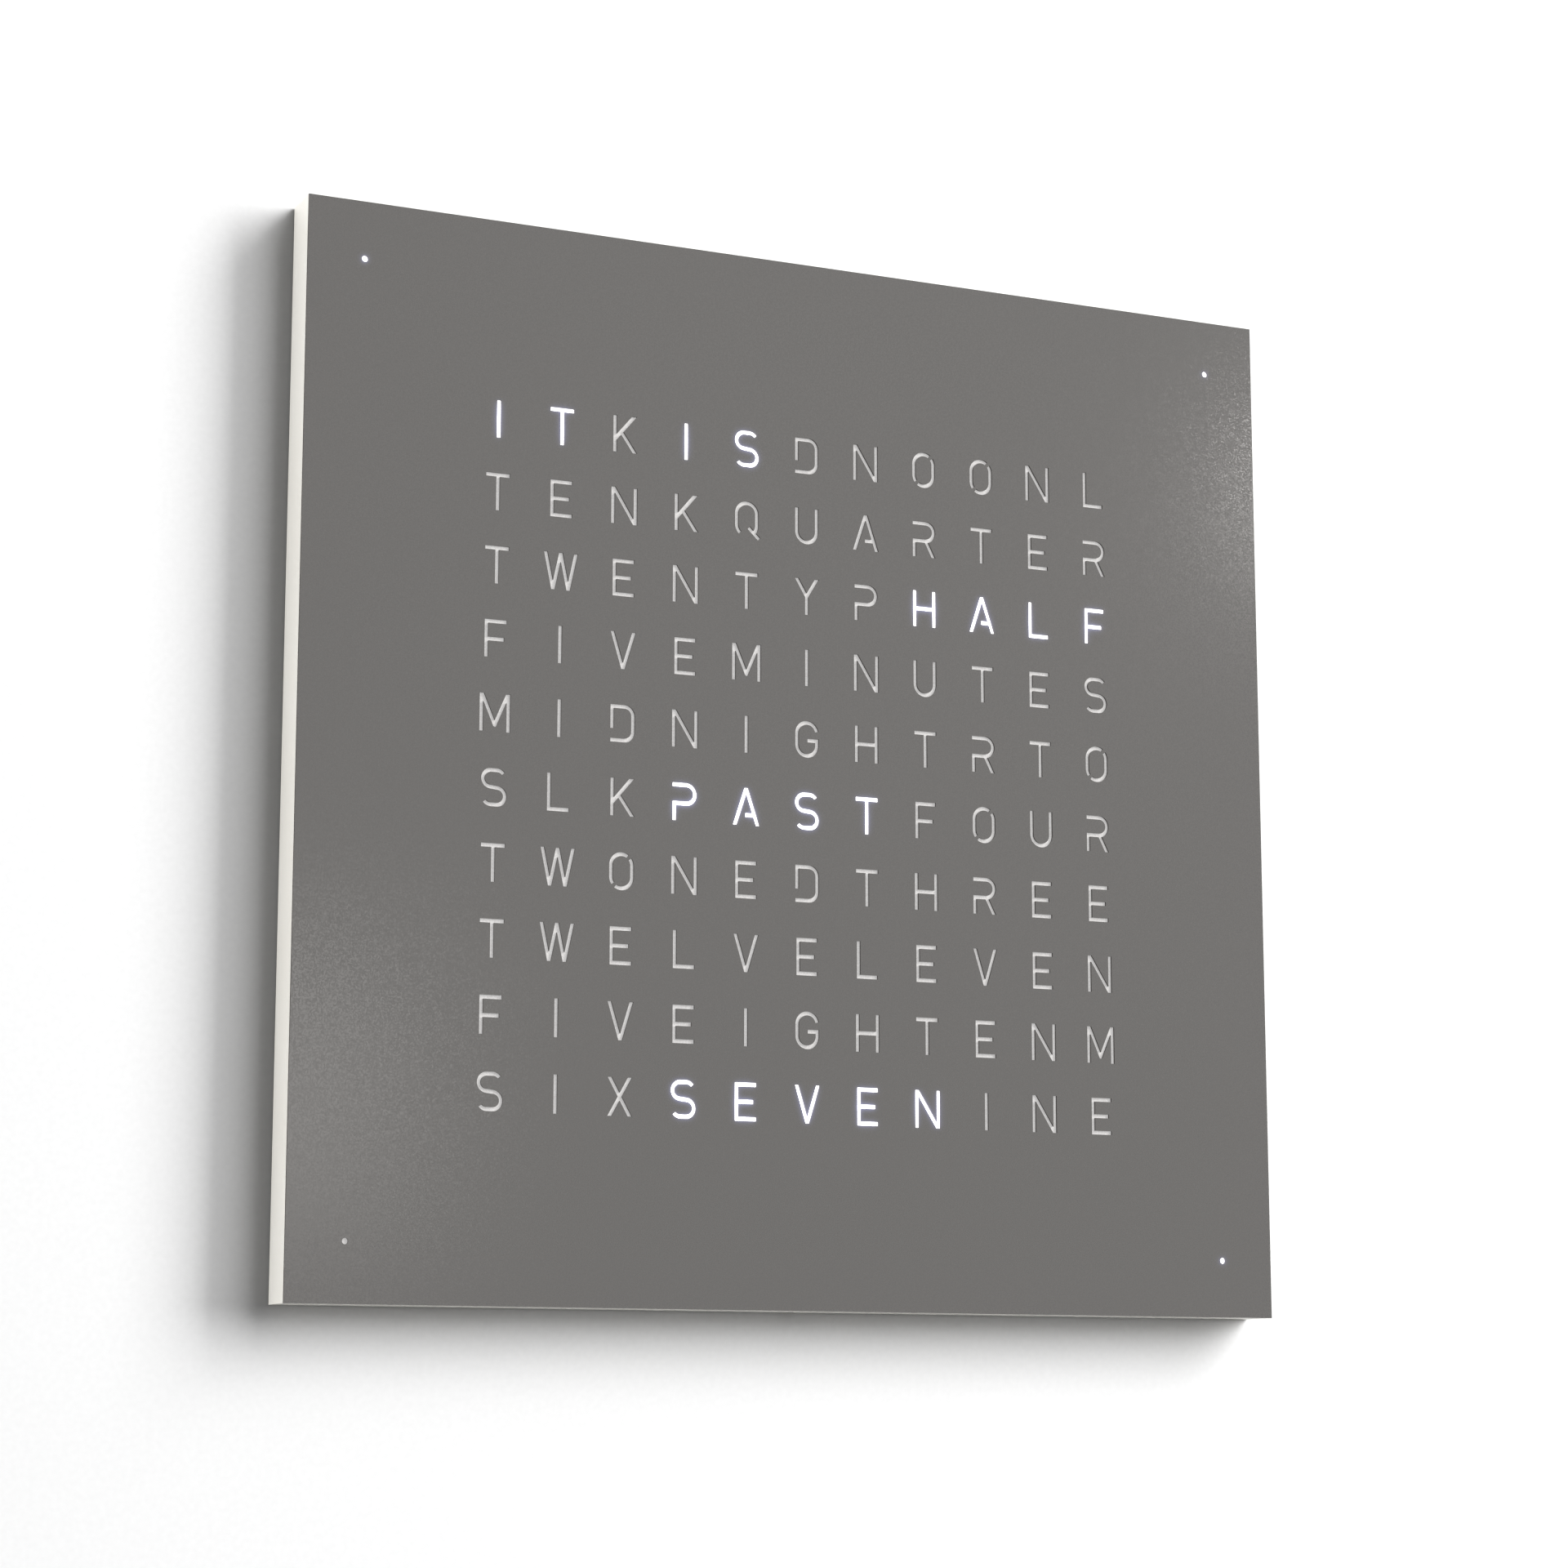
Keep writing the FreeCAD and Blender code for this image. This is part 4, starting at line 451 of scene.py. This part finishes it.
def opal_acrylic():
    """Diffusing plastic. The glow is the lit share times a fall-off with distance from the cell's middle,
    plus an even painted glow.
    """
    made, tree, shader, place = material("acrylic_opal_satin", Roughness=0.5)
    blend(tree, shader, speckle(tree, place, OPAL_GRAIN), *OPAL)
    lit, axes = lit_share(tree, place)
    offsets = []
    for axis, pitch, shift in (("X", COLUMN_PITCH, 0.0), ("Z", ROW_PITCH, ROW_PITCH / 2)):
        moved = add(tree, "Math", {"operation": "ADD", 1: shift}, {0: axes.outputs[axis]}).outputs[0]
        wrap = {"operation": "WRAP", 1: pitch / 2, 2: -pitch / 2}
        offsets.append(add(tree, "Math", wrap, {0: moved}).outputs[0])
    apart = add(tree, "CombineXYZ", {}, {0: offsets[0], 2: offsets[1]}).outputs[0]
    reach = add(tree, "VectorMath", {"operation": "LENGTH"}, {0: apart}).outputs["Value"]
    fall = {"interpolation_type": "SMOOTHSTEP", "From Max": CELL_REACH, "To Min": 1.0, "To Max": CELL_LEAST}
    share = add(tree, "MapRange", fall, {0: reach}).outputs[0]
    both = add(tree, "Math", {"operation": "MULTIPLY"}, {0: lit, 1: share}).outputs[0]
    # Painted light: the even glow added here brightens the dark cells as the room's light would.
    steps = {"operation": "MULTIPLY_ADD", 1: OPAL_GLOW, 2: PAINTED_GLOW_DARK_CELLS}
    glow = add(tree, "Math", steps, {0: both}).outputs[0]
    blend(tree, shader, speckle(tree, place, OPAL_GRAIN), *GLOW, socket="Emission Color")
    tree.links.new(glow, shader.inputs["Emission Strength"])
    return made


dress(opal_acrylic(), "opal_sheet")

# ---------------- cover
# Sheet steel, cut by laser and powder coated dark grey. The powder holds metal flakes that lie almost flat,
# so the face is plain and even from most places and sparkles where a lamp is mirrored.
POWDER = ("777573", "858381")    # where fewer and where more flakes lie
METAL_SHARE = (0.35, 0.60)       # of the light that flakes send back there
PAINTED_EDGE_SHADE = "47423E"          # painted shade on the walls of the cuts and on the rims, which lie in shade
SHADED_EDGE_LEAN = 0.5               # most that the normal of such an edge has of Y
FLAKE_WIDTH = 0.45           # six times the real flakes, so that each shows as a spark
FLAKE_COVER = 0.45           # of the surface that has more flakes
FLAKE_LEAN = 0.04            # most that a flake's slope ranges over
POWDER_ROUGHNESS = 0.145
POWDER_SPECULAR = 0.25


def metallic_powder():
    """Voronoi cells that hold fewer or more flakes, each cell with a small slope of its own.

    Both kinds look alike until a lamp is mirrored, when the cells with more flakes come out brighter."""
    made, tree, shader, place = material(
        "steel_powder_coated_metallic", Specular_IOR_Level=POWDER_SPECULAR, Roughness=POWDER_ROUGHNESS
    )
    cells = add(tree, "TexVoronoi", {"Scale": 1 / FLAKE_WIDTH}, {"Vector": place}).outputs["Color"]
    draw = add(tree, "SeparateColor", {}, {0: cells}).outputs["Blue"]
    flaky = add(tree, "Math", {"operation": "LESS_THAN", 1: FLAKE_COVER}, {0: draw}).outputs[0]
    metal_ends = {"To Min": METAL_SHARE[0], "To Max": METAL_SHARE[1]}
    tree.links.new(add(tree, "MapRange", metal_ends, {0: flaky}).outputs[0], shader.inputs["Metallic"])
    ends = {"data_type": "RGBA", 6: linear(POWDER[0]), 7: linear(POWDER[1])}
    powder = add(tree, "Mix", ends, {0: flaky}).outputs[2]
    normal = add(tree, "NewGeometry").outputs["Normal"]
    axes = add(tree, "SeparateXYZ", {}, {0: normal}).outputs
    # Painted shade: faces that look sideways, the cut walls and the rims, take a dark colour.
    cut = add(tree, "Math", {"operation": "COMPARE", 1: 0.0, 2: SHADED_EDGE_LEAN}, {0: axes["Y"]}).outputs[0]
    colour = add(tree, "Mix", {"data_type": "RGBA", 7: linear(PAINTED_EDGE_SHADE)}, {0: cut, 6: powder}).outputs[2]
    tree.links.new(colour, shader.inputs["Base Color"])
    lean = add(tree, "VectorMath", {"operation": "SUBTRACT", 1: MIDDLE}, {0: cells}).outputs[0]
    slope = add(tree, "VectorMath", {"operation": "SCALE", "Scale": FLAKE_LEAN}, {0: lean}).outputs[0]
    leaning = add(tree, "VectorMath", {"operation": "ADD"}, {0: normal, 1: slope}).outputs[0]
    unit = add(tree, "VectorMath", {"operation": "NORMALIZE"}, {0: leaning}).outputs[0]
    tree.links.new(unit, shader.inputs["Normal"])
    return made


dress(metallic_powder(), "front_cover")
dress(zinc, "locating_pins")

# ---------------- keys
# Three moulded keys stand a little out of the right-hand rail. Each has a rounded rim and a shallow dish for
# the fingertip, and presses the black plunger of a switch on a small board in the rail's pocket.
KEY_RADIUS = 3.5
KEY_FLANGE_RADIUS = 4.5
KEY_FLANGE = 1.0
KEY_ROUNDS = (0.2, 0.2, 0.1, 0.45)    # on both rims of the flange, at the key's foot and on its own rim
KEY_DISH_RADIUS = 2.6
KEY_DISH_DEPTH = 0.3
DISH_STEPS = 12
DISH_POLE = 0.02             # radius of the flat in its middle, as a share of the dish's
KEY_IVORY = ("DEDBD1", "E6E3DA")
MASK_GREEN = ("0E3A25", "165236")
TRACE_GREEN = "1F6B45"

# The keys' ABS is a smooth warm white, a little glossier than the lacquer round it.
key_plastic = moulded("abs_ivory_moulded", KEY_IVORY, roughness=0.38, grain=0.3, height=0.006)
dish_run = np.linspace(1, DISH_POLE, DISH_STEPS)
keys = []
for key in ("mode", "hour", "minute"):
    low, high = extent(f"{key}_key")
    outer = high[0]
    flange = low[0] + KEY_FLANGE
    key_corners = [(low[0], POLE), (low[0], KEY_FLANGE_RADIUS), (flange, KEY_FLANGE_RADIUS)]
    key_corners += [(flange, KEY_RADIUS), (outer, KEY_RADIUS), (outer, KEY_DISH_RADIUS)]
    dish = np.stack([outer - KEY_DISH_DEPTH * (1 - dish_run**2), KEY_DISH_RADIUS * dish_run], axis=1)
    outline = np.concatenate([rounded(key_corners, KEY_ROUNDS), dish])
    centre = np.array((0, (low[1] + high[1]) / 2, (low[2] + high[2]) / 2))
    piece = surface(f"{key}_key_moulded", centre + turned(outline, (1, 0, 0)))
    finish_piece(piece, key_plastic, f"{key}_button", "key_plastic", f"{key}_key")
    keys.append(piece)
    dress(black_plastic, f"{key}_plunger")
green_board = circuit_board("green_solder_mask", MASK_GREEN, TRACE_GREEN)
dress(green_board, "key_board")
dress(black_plastic, "key_switches")
dress(zinc, "key_board_screws")

# ---------------- control board
# A green circuit board below the LED board, held to the hardboard by four bolts, spacers and nuts. A barrel
# socket stands over the plug bay, with a regulator beside it.
dress(green_board, "control_board", "receiver_board")
dress(zinc, "control_board_bolts", "control_board_nuts")
dress(white_nylon, "control_board_spacers")
dress(black_plastic, "regulator", "cell_holder", "power_socket", "receiver_chip")
dress(brass, "power_socket_contact")

# ---------------- processor
# A square black package of moulded epoxy. Its leads are stamped from tinned copper, bent down to the board
# and soldered on all four sides.
CHIP_HALF = 5.0              # of the moulded body
CHIP_HEIGHT = 1.4
CHIP_GAP = 0.1               # below the body
CHIP_DRAFT = 0.1             # that each half slopes in
CHIP_ROUNDS = (0.05, 0.05, 0.2)    # on the lower rim, the parting line and the upper rim
LEADS_A_SIDE = 8
LEAD_PITCH = 1.1
LEAD_WIDTH = 0.45
LEAD_THICKNESS = 0.15
LEAD_BENDS = ((-0.3, 0.7), (0.2, 0.7), (0.35, 0.62), (0.45, 0.2))    # out of the body, above the board
LEAD_FOOT = (0.6, 1.0)       # start and end of the flat foot, out of the body
TIN = ("B5B6B4", "D6D6D2")


def stance(node):
    """Where a part stands: the middle of the side of its CAD node that lies on the board, in mm."""
    low, high = extent(node)
    return np.array(((low[0] + high[0]) / 2, low[1], (low[2] + high[2]) / 2))


def swept(path, section):
    """A section of points (a, b) in mm carried along a path of points that all have the same x.

    The point is path + a * X + b * (tangent x X). The section runs from X towards tangent x X."""
    path = np.array(path, float)
    tangent = np.gradient(path, axis=0)
    tangent /= np.linalg.norm(tangent, axis=1, keepdims=True)
    across = np.array((1.0, 0.0, 0.0))
    out = np.cross(tangent, across)
    return path[:, None] + section[:, :1] * across + section[:, 1:] * out[:, None]


chip_place = stance("processor")
bends = LEAD_BENDS + tuple((out, LEAD_THICKNESS / 2) for out in LEAD_FOOT)
lead_path = [(0.0, height, -(CHIP_HALF + out)) for out, height in bends]
lead_section = np.array(((1, 1), (-1, 1), (-1, -1), (1, -1))) * (LEAD_WIDTH / 2, LEAD_THICKNESS / 2)
lead_shift = (np.arange(LEADS_A_SIDE) - (LEADS_A_SIDE - 1) / 2) * LEAD_PITCH
one_side = swept(lead_path, lead_section) + lead_shift[:, None, None, None] * np.array((1.0, 0.0, 0.0))
quarter = np.arange(4) * np.pi / 2
zero = np.zeros(4)
spin = np.array([
    [np.cos(quarter), zero, np.sin(quarter)],
    [zero, zero + 1, zero],
    [-np.sin(quarter), zero, np.cos(quarter)],
])
leads = surface("processor_leads_bent", np.einsum("ijk,...j->k...i", spin, one_side) + chip_place)

# Tin plating is a soft bright grey, whiter than zinc.
tin = metal("tin_plated_copper", TIN, roughness=(0.24, 0.36), width=0.8, height=0.002)
finish_piece(leads, tin, "case", "zinc_steel")
reach = CHIP_HALF * np.sqrt(2)    # from the middle to the package's corners
chip_corners = [(CHIP_GAP, POLE), (CHIP_GAP, reach - CHIP_DRAFT), (CHIP_HEIGHT / 2, reach)]
chip_corners += [(CHIP_HEIGHT, reach - CHIP_DRAFT), (CHIP_HEIGHT, POLE)]
package = turned(rounded(chip_corners, CHIP_ROUNDS), (0, 1, 0), steps=4)
eighth_turn = np.array([[1, 0, 1], [0, np.sqrt(2), 0], [-1, 0, 1]]) / np.sqrt(2)
chip = surface("processor_package_moulded", package @ eighth_turn.T + chip_place)
finish_piece(chip, black_plastic, "case", "black_plastic", "processor")

# ---------------- capacitors
# Two aluminium cans, drawn from sheet and crimped over a rubber foot, are soldered to the board on both sides
# of the socket. The drawing leaves a pale, slightly blurred shine.
ALUMINIUM = ("A9ABAD", "CBCDCF")
CAN_RADIUS = 3.15
CAN_HEIGHT = 5.8
CRIMP = (0.7, 1.1, 1.5)      # start, bottom and end of the crimped groove
CRIMP_DEPTH = 0.35
CAN_ROUNDS = (0.1, 0.15, 0.2, 0.15, 0.5)    # at the foot, at the groove's three corners and at the top
aluminium = metal("aluminium_can_drawn", ALUMINIUM, roughness=(0.22, 0.36), width=1.1, height=0.003)
can_corners = [(0, POLE), (0, CAN_RADIUS), (CRIMP[0], CAN_RADIUS), (CRIMP[1], CAN_RADIUS - CRIMP_DEPTH)]
can_corners += [(CRIMP[2], CAN_RADIUS), (CAN_HEIGHT, CAN_RADIUS), (CAN_HEIGHT, POLE)]
can = turned(rounded(can_corners, CAN_ROUNDS), (0, 1, 0))
beside = extent("capacitors")[1][0] - CAN_RADIUS    # from the middle of the clock to a can's axis
can_places = stance("capacitors") + np.array(((-beside, 0, 0), (beside, 0, 0)))
cans = surface("capacitor_cans_crimped", can + can_places[:, None, None])
finish_piece(cans, aluminium, "case", "aluminium_can", "capacitors")

# ---------------- clock crystal
# The quartz crystal that keeps the time sits in a steel can with two flat sides and round ends. The can is
# resistance welded to a flange, which stands on the board.
CRYSTAL_RADIUS = 2.3         # of the flange's round ends
CRYSTAL_STRETCH = 3.2        # from the middle to the centre of each round end
CRYSTAL_HEIGHT = 3.6
CRYSTAL_ROUNDS = (0.1, 0.12, 0.15, 0.5)    # on both rims of the flange, at the can's foot and at its top
FLANGE = 0.45                # both its thickness and how far it stands out
inner = CRYSTAL_RADIUS - FLANGE
crystal_corners = [(0, POLE), (0, CRYSTAL_RADIUS), (FLANGE, CRYSTAL_RADIUS), (FLANGE, inner)]
crystal_corners += [(CRYSTAL_HEIGHT, inner), (CRYSTAL_HEIGHT, POLE)]
crystal = turned(rounded(crystal_corners, CRYSTAL_ROUNDS), (0, 1, 0), stretch=CRYSTAL_STRETCH)
crystal_can = surface("clock_crystal_can", crystal + stance("clock_crystal"))
finish_piece(crystal_can, aluminium, "case", "stainless_steel", "clock_crystal")

# ---------------- back-up cell
# A coin cell of stamped stainless steel, pressed into its black holder. The wide can faces the wall, and the
# cap in front of it is narrower.
CELL_RADIUS = 10.0
CELL_HEIGHT = 3.2
CAP_RADIUS = 8.8
CAP_HEIGHT = 0.6
CELL_ROUNDS = (0.25, 0.1, 0.2, 0.5)    # on the cap's rim, at its foot and on both rims of the can
cell_corners = [(0, POLE), (0, CAP_RADIUS), (CAP_HEIGHT, CAP_RADIUS), (CAP_HEIGHT, CELL_RADIUS)]
cell_corners += [(CELL_HEIGHT, CELL_RADIUS), (CELL_HEIGHT, POLE)]
coin = turned(rounded(cell_corners, CELL_ROUNDS), (0, 1, 0))
cell = surface("backup_cell_coin", coin + stance("backup_cell"))
finish_piece(cell, brushed, "case", "stainless_steel", "backup_cell")

# ---------------- ribbon cable
# Ten grey insulated conductors side by side, joined by thin webs when they were extruded. It hangs from the
# LED board's plug and bends forward to the one on the control board. The soft PVC has an even, dull gloss.
PVC_GREY = ("94979B", "A5A8AC")
CONDUCTORS = 10
CONDUCTOR_PITCH = 1.2
CONDUCTOR_RADIUS = 0.4
WEB_HALF = 0.17              # half the thickness between conductors
STEPS_A_CONDUCTOR = 12
BEND = 2.9                   # of the middle of the ribbon
BEND_STEPS = 13
ribbon_low, ribbon_high = extent("ribbon_cable")
hang_y = ribbon_high[1] - CONDUCTOR_RADIUS
lower_z = ribbon_low[2] + CONDUCTOR_RADIUS
across = np.linspace(-1, 1, CONDUCTORS * STEPS_A_CONDUCTOR + 1) * CONDUCTORS * CONDUCTOR_PITCH / 2
off_axis = np.abs(across % CONDUCTOR_PITCH - CONDUCTOR_PITCH / 2)
bulge = np.sqrt(np.clip(CONDUCTOR_RADIUS**2 - off_axis**2, WEB_HALF**2, None))
section = np.concatenate([np.stack([-across, bulge], axis=1), np.stack([across, -bulge], axis=1)])
arc = np.linspace(0, np.pi / 2, BEND_STEPS)
ribbon_x = np.full(BEND_STEPS + 2, (ribbon_low[0] + ribbon_high[0]) / 2)
ribbon_y = np.r_[hang_y, hang_y - BEND + BEND * np.cos(arc), ribbon_low[1]]
ribbon_z = np.r_[ribbon_high[2], lower_z + BEND - BEND * np.sin(arc), lower_z]
ribbon_grey = moulded("pvc_grey_extruded", PVC_GREY, roughness=0.5, grain=0.4, height=0.004)
ribbon = surface("ribbon_cable_extruded", swept(np.stack([ribbon_x, ribbon_y, ribbon_z], axis=1), section))
finish_piece(ribbon, ribbon_grey, "case", "ribbon", "ribbon_cable")
dress(black_plastic, "ribbon_plug_upper", "ribbon_plug_lower")

# ---------------- time signal receiver
# A ferrite rod with a coil of enamelled copper wire picks up the time signal. Two nylon clips hold the rod,
# and the receiver board sits on a foam pad.
FERRITE = ("2A2927", "3A3835")
COPPER = ("8C4A22", "B56A35")
COIL_HALF = 11.0
COIL_RADIUS = 5.5
COIL_BORE = 4.05
WIRE = 0.5                   # twice the real wire, so that the turns show
STEPS_A_TURN = 6

# Sintered ferrite is a dull charcoal with a fine grit. Enamelled copper shines amber along each turn.
ferrite = moulded("ferrite_sintered", FERRITE, roughness=0.75, grain=0.3, height=0.02)
copper = metal("copper_enamelled", COPPER, roughness=(0.25, 0.35), width=2.0, height=0.002)


def wound_coil():
    """Wire wound in one screw line: at angle a the radius is R - w/2 + w/2 * |cos(pi * (x / w - a / 2 pi))|.

    The ends are flat and the bore is plain."""
    turns = round(2 * COIL_HALF / WIRE)
    along = np.linspace(-COIL_HALF, COIL_HALF, turns * STEPS_A_TURN + 1)[:, None]
    angle = np.linspace(0, 2 * np.pi, TURN_STEPS, endpoint=False)
    rib = np.abs(np.cos(np.pi * (along / WIRE - angle / (2 * np.pi))))
    out = COIL_RADIUS - WIRE / 2 + WIRE / 2 * rib
    bore = np.full((1, TURN_STEPS), COIL_BORE)
    out = np.concatenate([bore, out, bore])
    along = np.concatenate([along[:1], along, along[-1:]]) + 0 * out
    return np.stack([along, -out * np.sin(angle), out * np.cos(angle)], axis=-1)


coil = surface("aerial_coil_wound", wound_coil() + np.mean(extent("aerial_coil"), axis=0), loop=True)
finish_piece(coil, copper, "case", "copper_coil", "aerial_coil")
dress(ferrite, "aerial_rod")
dress(white_nylon, "aerial_clips")
dress(foam, "receiver_pad")

# ---------------- leads
# Every lead between the boards is stranded copper in soft red insulation, extruded over it and soldered at
# both ends. The PVC has a low, even gloss.
PVC_RED = ("9E2A22", "B53A30")
insulation = moulded("pvc_red_extruded", PVC_RED, roughness=0.42, grain=0.3, height=0.004)
dress(insulation, "minute_led_leads", "aerial_lead", "receiver_lead", "key_lead")

# ---------------- room
# A white wall and a pale floor under soft lamps. The wall is open behind the clock and shows nothing from its
# other side, so that the clock can be looked at from all round.
WALL_GAP = 0.3               # behind the clock
WALL_HOLE = 436.0            # less than the clock, so that its edge is never seen from the front
ROOM_REACH = 4000.0
FLOOR_LEVEL = -1300.0
CORNERS = ((-1, -1), (1, -1), (1, 1), (-1, 1))    # of a square, in order
WALL_PAINT = ("F4F4F4", "F7F7F7")
FLOOR_PAINT = ("B6B6B4", "BBBBB9")
ROLLER_WIDTH = 2.5           # of the faint mottle that a paint roller leaves


def room_paint(name, colours):
    """Matt paint, plain and even to the eye, and clear when it is looked at from behind."""
    made, tree, shader, place = material(name, Roughness=0.9)
    blend(tree, shader, speckle(tree, place, ROLLER_WIDTH, detail=2.0), *colours)
    clear = add(tree, "BsdfTransparent").outputs[0]
    behind = add(tree, "NewGeometry").outputs["Backfacing"]
    mixed = add(tree, "MixShader", {}, {0: behind, 1: shader.outputs[0], 2: clear}).outputs[0]
    tree.links.new(mixed, tree.nodes["Material Output"].inputs["Surface"])
    return made


def backdrop(name, corners, faces, paint):
    """A flat piece of the room, from corners in mm."""
    mesh = bpy.data.meshes.new(name)
    mesh.from_pydata([Vector(corner) / MM for corner in corners], [], faces)
    mesh.materials.append(paint)
    piece = bpy.data.objects.new(name, mesh)
    bpy.context.scene.collection.objects.link(piece)
    return piece


def square(half, level):
    """Corners of a square of the wall, clockwise as seen from behind."""
    return [(x * half, level, z * half) for x, z in CORNERS]


around = [(i, (i + 1) % 4, (i + 1) % 4 + 4, i + 4) for i in range(4)]
wall_corners = square(ROOM_REACH, WALL_GAP) + square(WALL_HOLE / 2, WALL_GAP)
wall = backdrop("wall", wall_corners, around, room_paint("emulsion_paint_rolled", WALL_PAINT))
wall.visible_shadow = False
floor_corners = [(x * ROOM_REACH, y * ROOM_REACH, FLOOR_LEVEL) for x, y in CORNERS]
floor = backdrop("floor", floor_corners, [(0, 1, 2, 3)], room_paint("floor_paint_rolled", FLOOR_PAINT))
floor.visible_diffuse = False
floor.visible_glossy = False

# Softboxes light what they reach and aren't mirrored. Lamps named sheen or glint are only mirrored.
KEY_LIGHT_PLACE = (6.5, -3.85, 3.3)
KEY_LIGHT_SIZE = (3.2, 7.6)
REAR_PLACE = (2.7, 2.35, 0.25)    # on the right, and its mirror image on the left
REAR_WATTS = ((-1, 147), (1, 110))    # on the left and on the right


def lamp(name, place, size, watts):
    """A softbox at a place, turned to the clock, that the camera doesn't see. All is in metres and watts."""
    data = bpy.data.lights.new(name, "AREA")
    data.shape = "RECTANGLE"
    data.size = size[0]
    data.size_y = size[1]
    data.energy = watts
    lit = bpy.data.objects.new(name, data)
    lit.location = place
    lit.rotation_euler = (-Vector(place)).to_track_quat("-Z", "Y").to_euler()
    lit.visible_camera = False
    bpy.context.scene.collection.objects.link(lit)
    return lit


shaded = bpy.data.collections.new("shaded_sides")    # pieces that two lamps would turn plain white
for piece in [nodes["frame_rail_right"], nodes["frame_rail_top"]] + keys:
    shaded.objects.link(piece)
for item in shaded.collection_objects:
    item.light_linking.link_state = "EXCLUDE"
key_light = lamp("key_softbox", KEY_LIGHT_PLACE, KEY_LIGHT_SIZE, watts=1110)
key_light.light_linking.receiver_collection = shaded
key_light.visible_glossy = False
key_sheen = lamp("key_sheen", KEY_LIGHT_PLACE, KEY_LIGHT_SIZE, watts=120)
key_sheen.visible_diffuse = False
front_light = lamp("front_softbox", place=(2.3, -4.2, 2.75), size=(3.2, 4.5), watts=175)
front_light.visible_glossy = False
for side, watts in REAR_WATTS:
    rear_place = (side * REAR_PLACE[0], REAR_PLACE[1], REAR_PLACE[2])
    rear_light = lamp("rear_softbox", rear_place, size=(3.0, 3.0), watts=watts)
    rear_light.data.cycles.max_bounces = 0
    rear_light.visible_glossy = False
rear_light.light_linking.receiver_collection = shaded    # only the one on the right
rear_sheen = lamp("rear_sheen", place=(-1.9, 2.6, 1.3), size=(2.6, 1.8), watts=11)
rear_sheen.visible_diffuse = False
for name, place, width, watts in (
    ("right_glint", (1.386, -1.67, 0.662), 0.12, 0.31),
    ("left_glint", (0.335, -1.92, 0.02), 0.28, 0.2),
):
    glint = lamp(name, place, (width, width), watts)
    glint.visible_diffuse = False

# The world is three strengths of plain white.
WORLD_SOFT = 0.15            # what lights the pieces
WORLD_MIRRORED = 0.42        # what glossy surfaces mirror
WORLD_SEEN = 0.62            # what the camera sees where there is no wall
world = bpy.data.worlds.new("studio")
bpy.context.scene.world = world
world.use_nodes = True
studio = world.node_tree
rays = add(studio, "LightPath").outputs
unseen = {"To Min": WORLD_SOFT, "To Max": WORLD_MIRRORED}
light = add(studio, "MapRange", unseen, {0: rays["Is Glossy Ray"]}).outputs[0]
seen = add(studio, "MapRange", {"To Max": WORLD_SEEN}, {0: rays["Is Camera Ray"], "To Min": light}).outputs[0]
studio.links.new(seen, studio.nodes["Background"].inputs["Strength"])
studio.nodes["Background"].inputs["Color"].default_value = linear("FFFFFF")

# The camera stands to the left of the clock and below it, and looks up a little.
EYE = Vector((-658.3, -1416.4, -275.1)) / MM
LOOK = Vector((0.4143, 0.8935, 0.1731))
LENS = 84.94                 # focal length
NEAREST = 0.05               # metres from the lens to the nearest thing that it shows
camera_data = bpy.data.cameras.new("camera")
camera_data.lens = LENS
camera_data.clip_start = NEAREST
camera = bpy.data.objects.new("camera", camera_data)
camera.location = EYE
camera.rotation_mode = "QUATERNION"
camera.rotation_quaternion = LOOK.to_track_quat("-Z", "Y")
scene = bpy.context.scene
scene.collection.objects.link(camera)
scene.camera = camera
scene.view_settings.view_transform = "Standard"

# The lens spreads a little of the brightest light, which leaves a soft halo round the lit letters.
BLOOM_FROM = 2.4             # brightness, above the wall's
BLOOM_STRENGTH = 1.3
BLOOM_SIZE = 0.006           # as a share of the picture
BLOOM_TINT = "B9C0FF"
scene.use_nodes = True
lens_tree = scene.node_tree
lens_tree.nodes.clear()
layers = lens_tree.nodes.new("CompositorNodeRLayers")
bloom = lens_tree.nodes.new("CompositorNodeGlare")
bloom.glare_type = "BLOOM"
bloom.quality = "HIGH"
bloom.inputs["Threshold"].default_value = BLOOM_FROM
bloom.inputs["Strength"].default_value = BLOOM_STRENGTH
bloom.inputs["Size"].default_value = BLOOM_SIZE
bloom.inputs["Tint"].default_value = linear(BLOOM_TINT)
picture = lens_tree.nodes.new("CompositorNodeComposite")
lens_tree.links.new(layers.outputs["Image"], bloom.inputs["Image"])
lens_tree.links.new(bloom.outputs["Image"], picture.inputs["Image"])
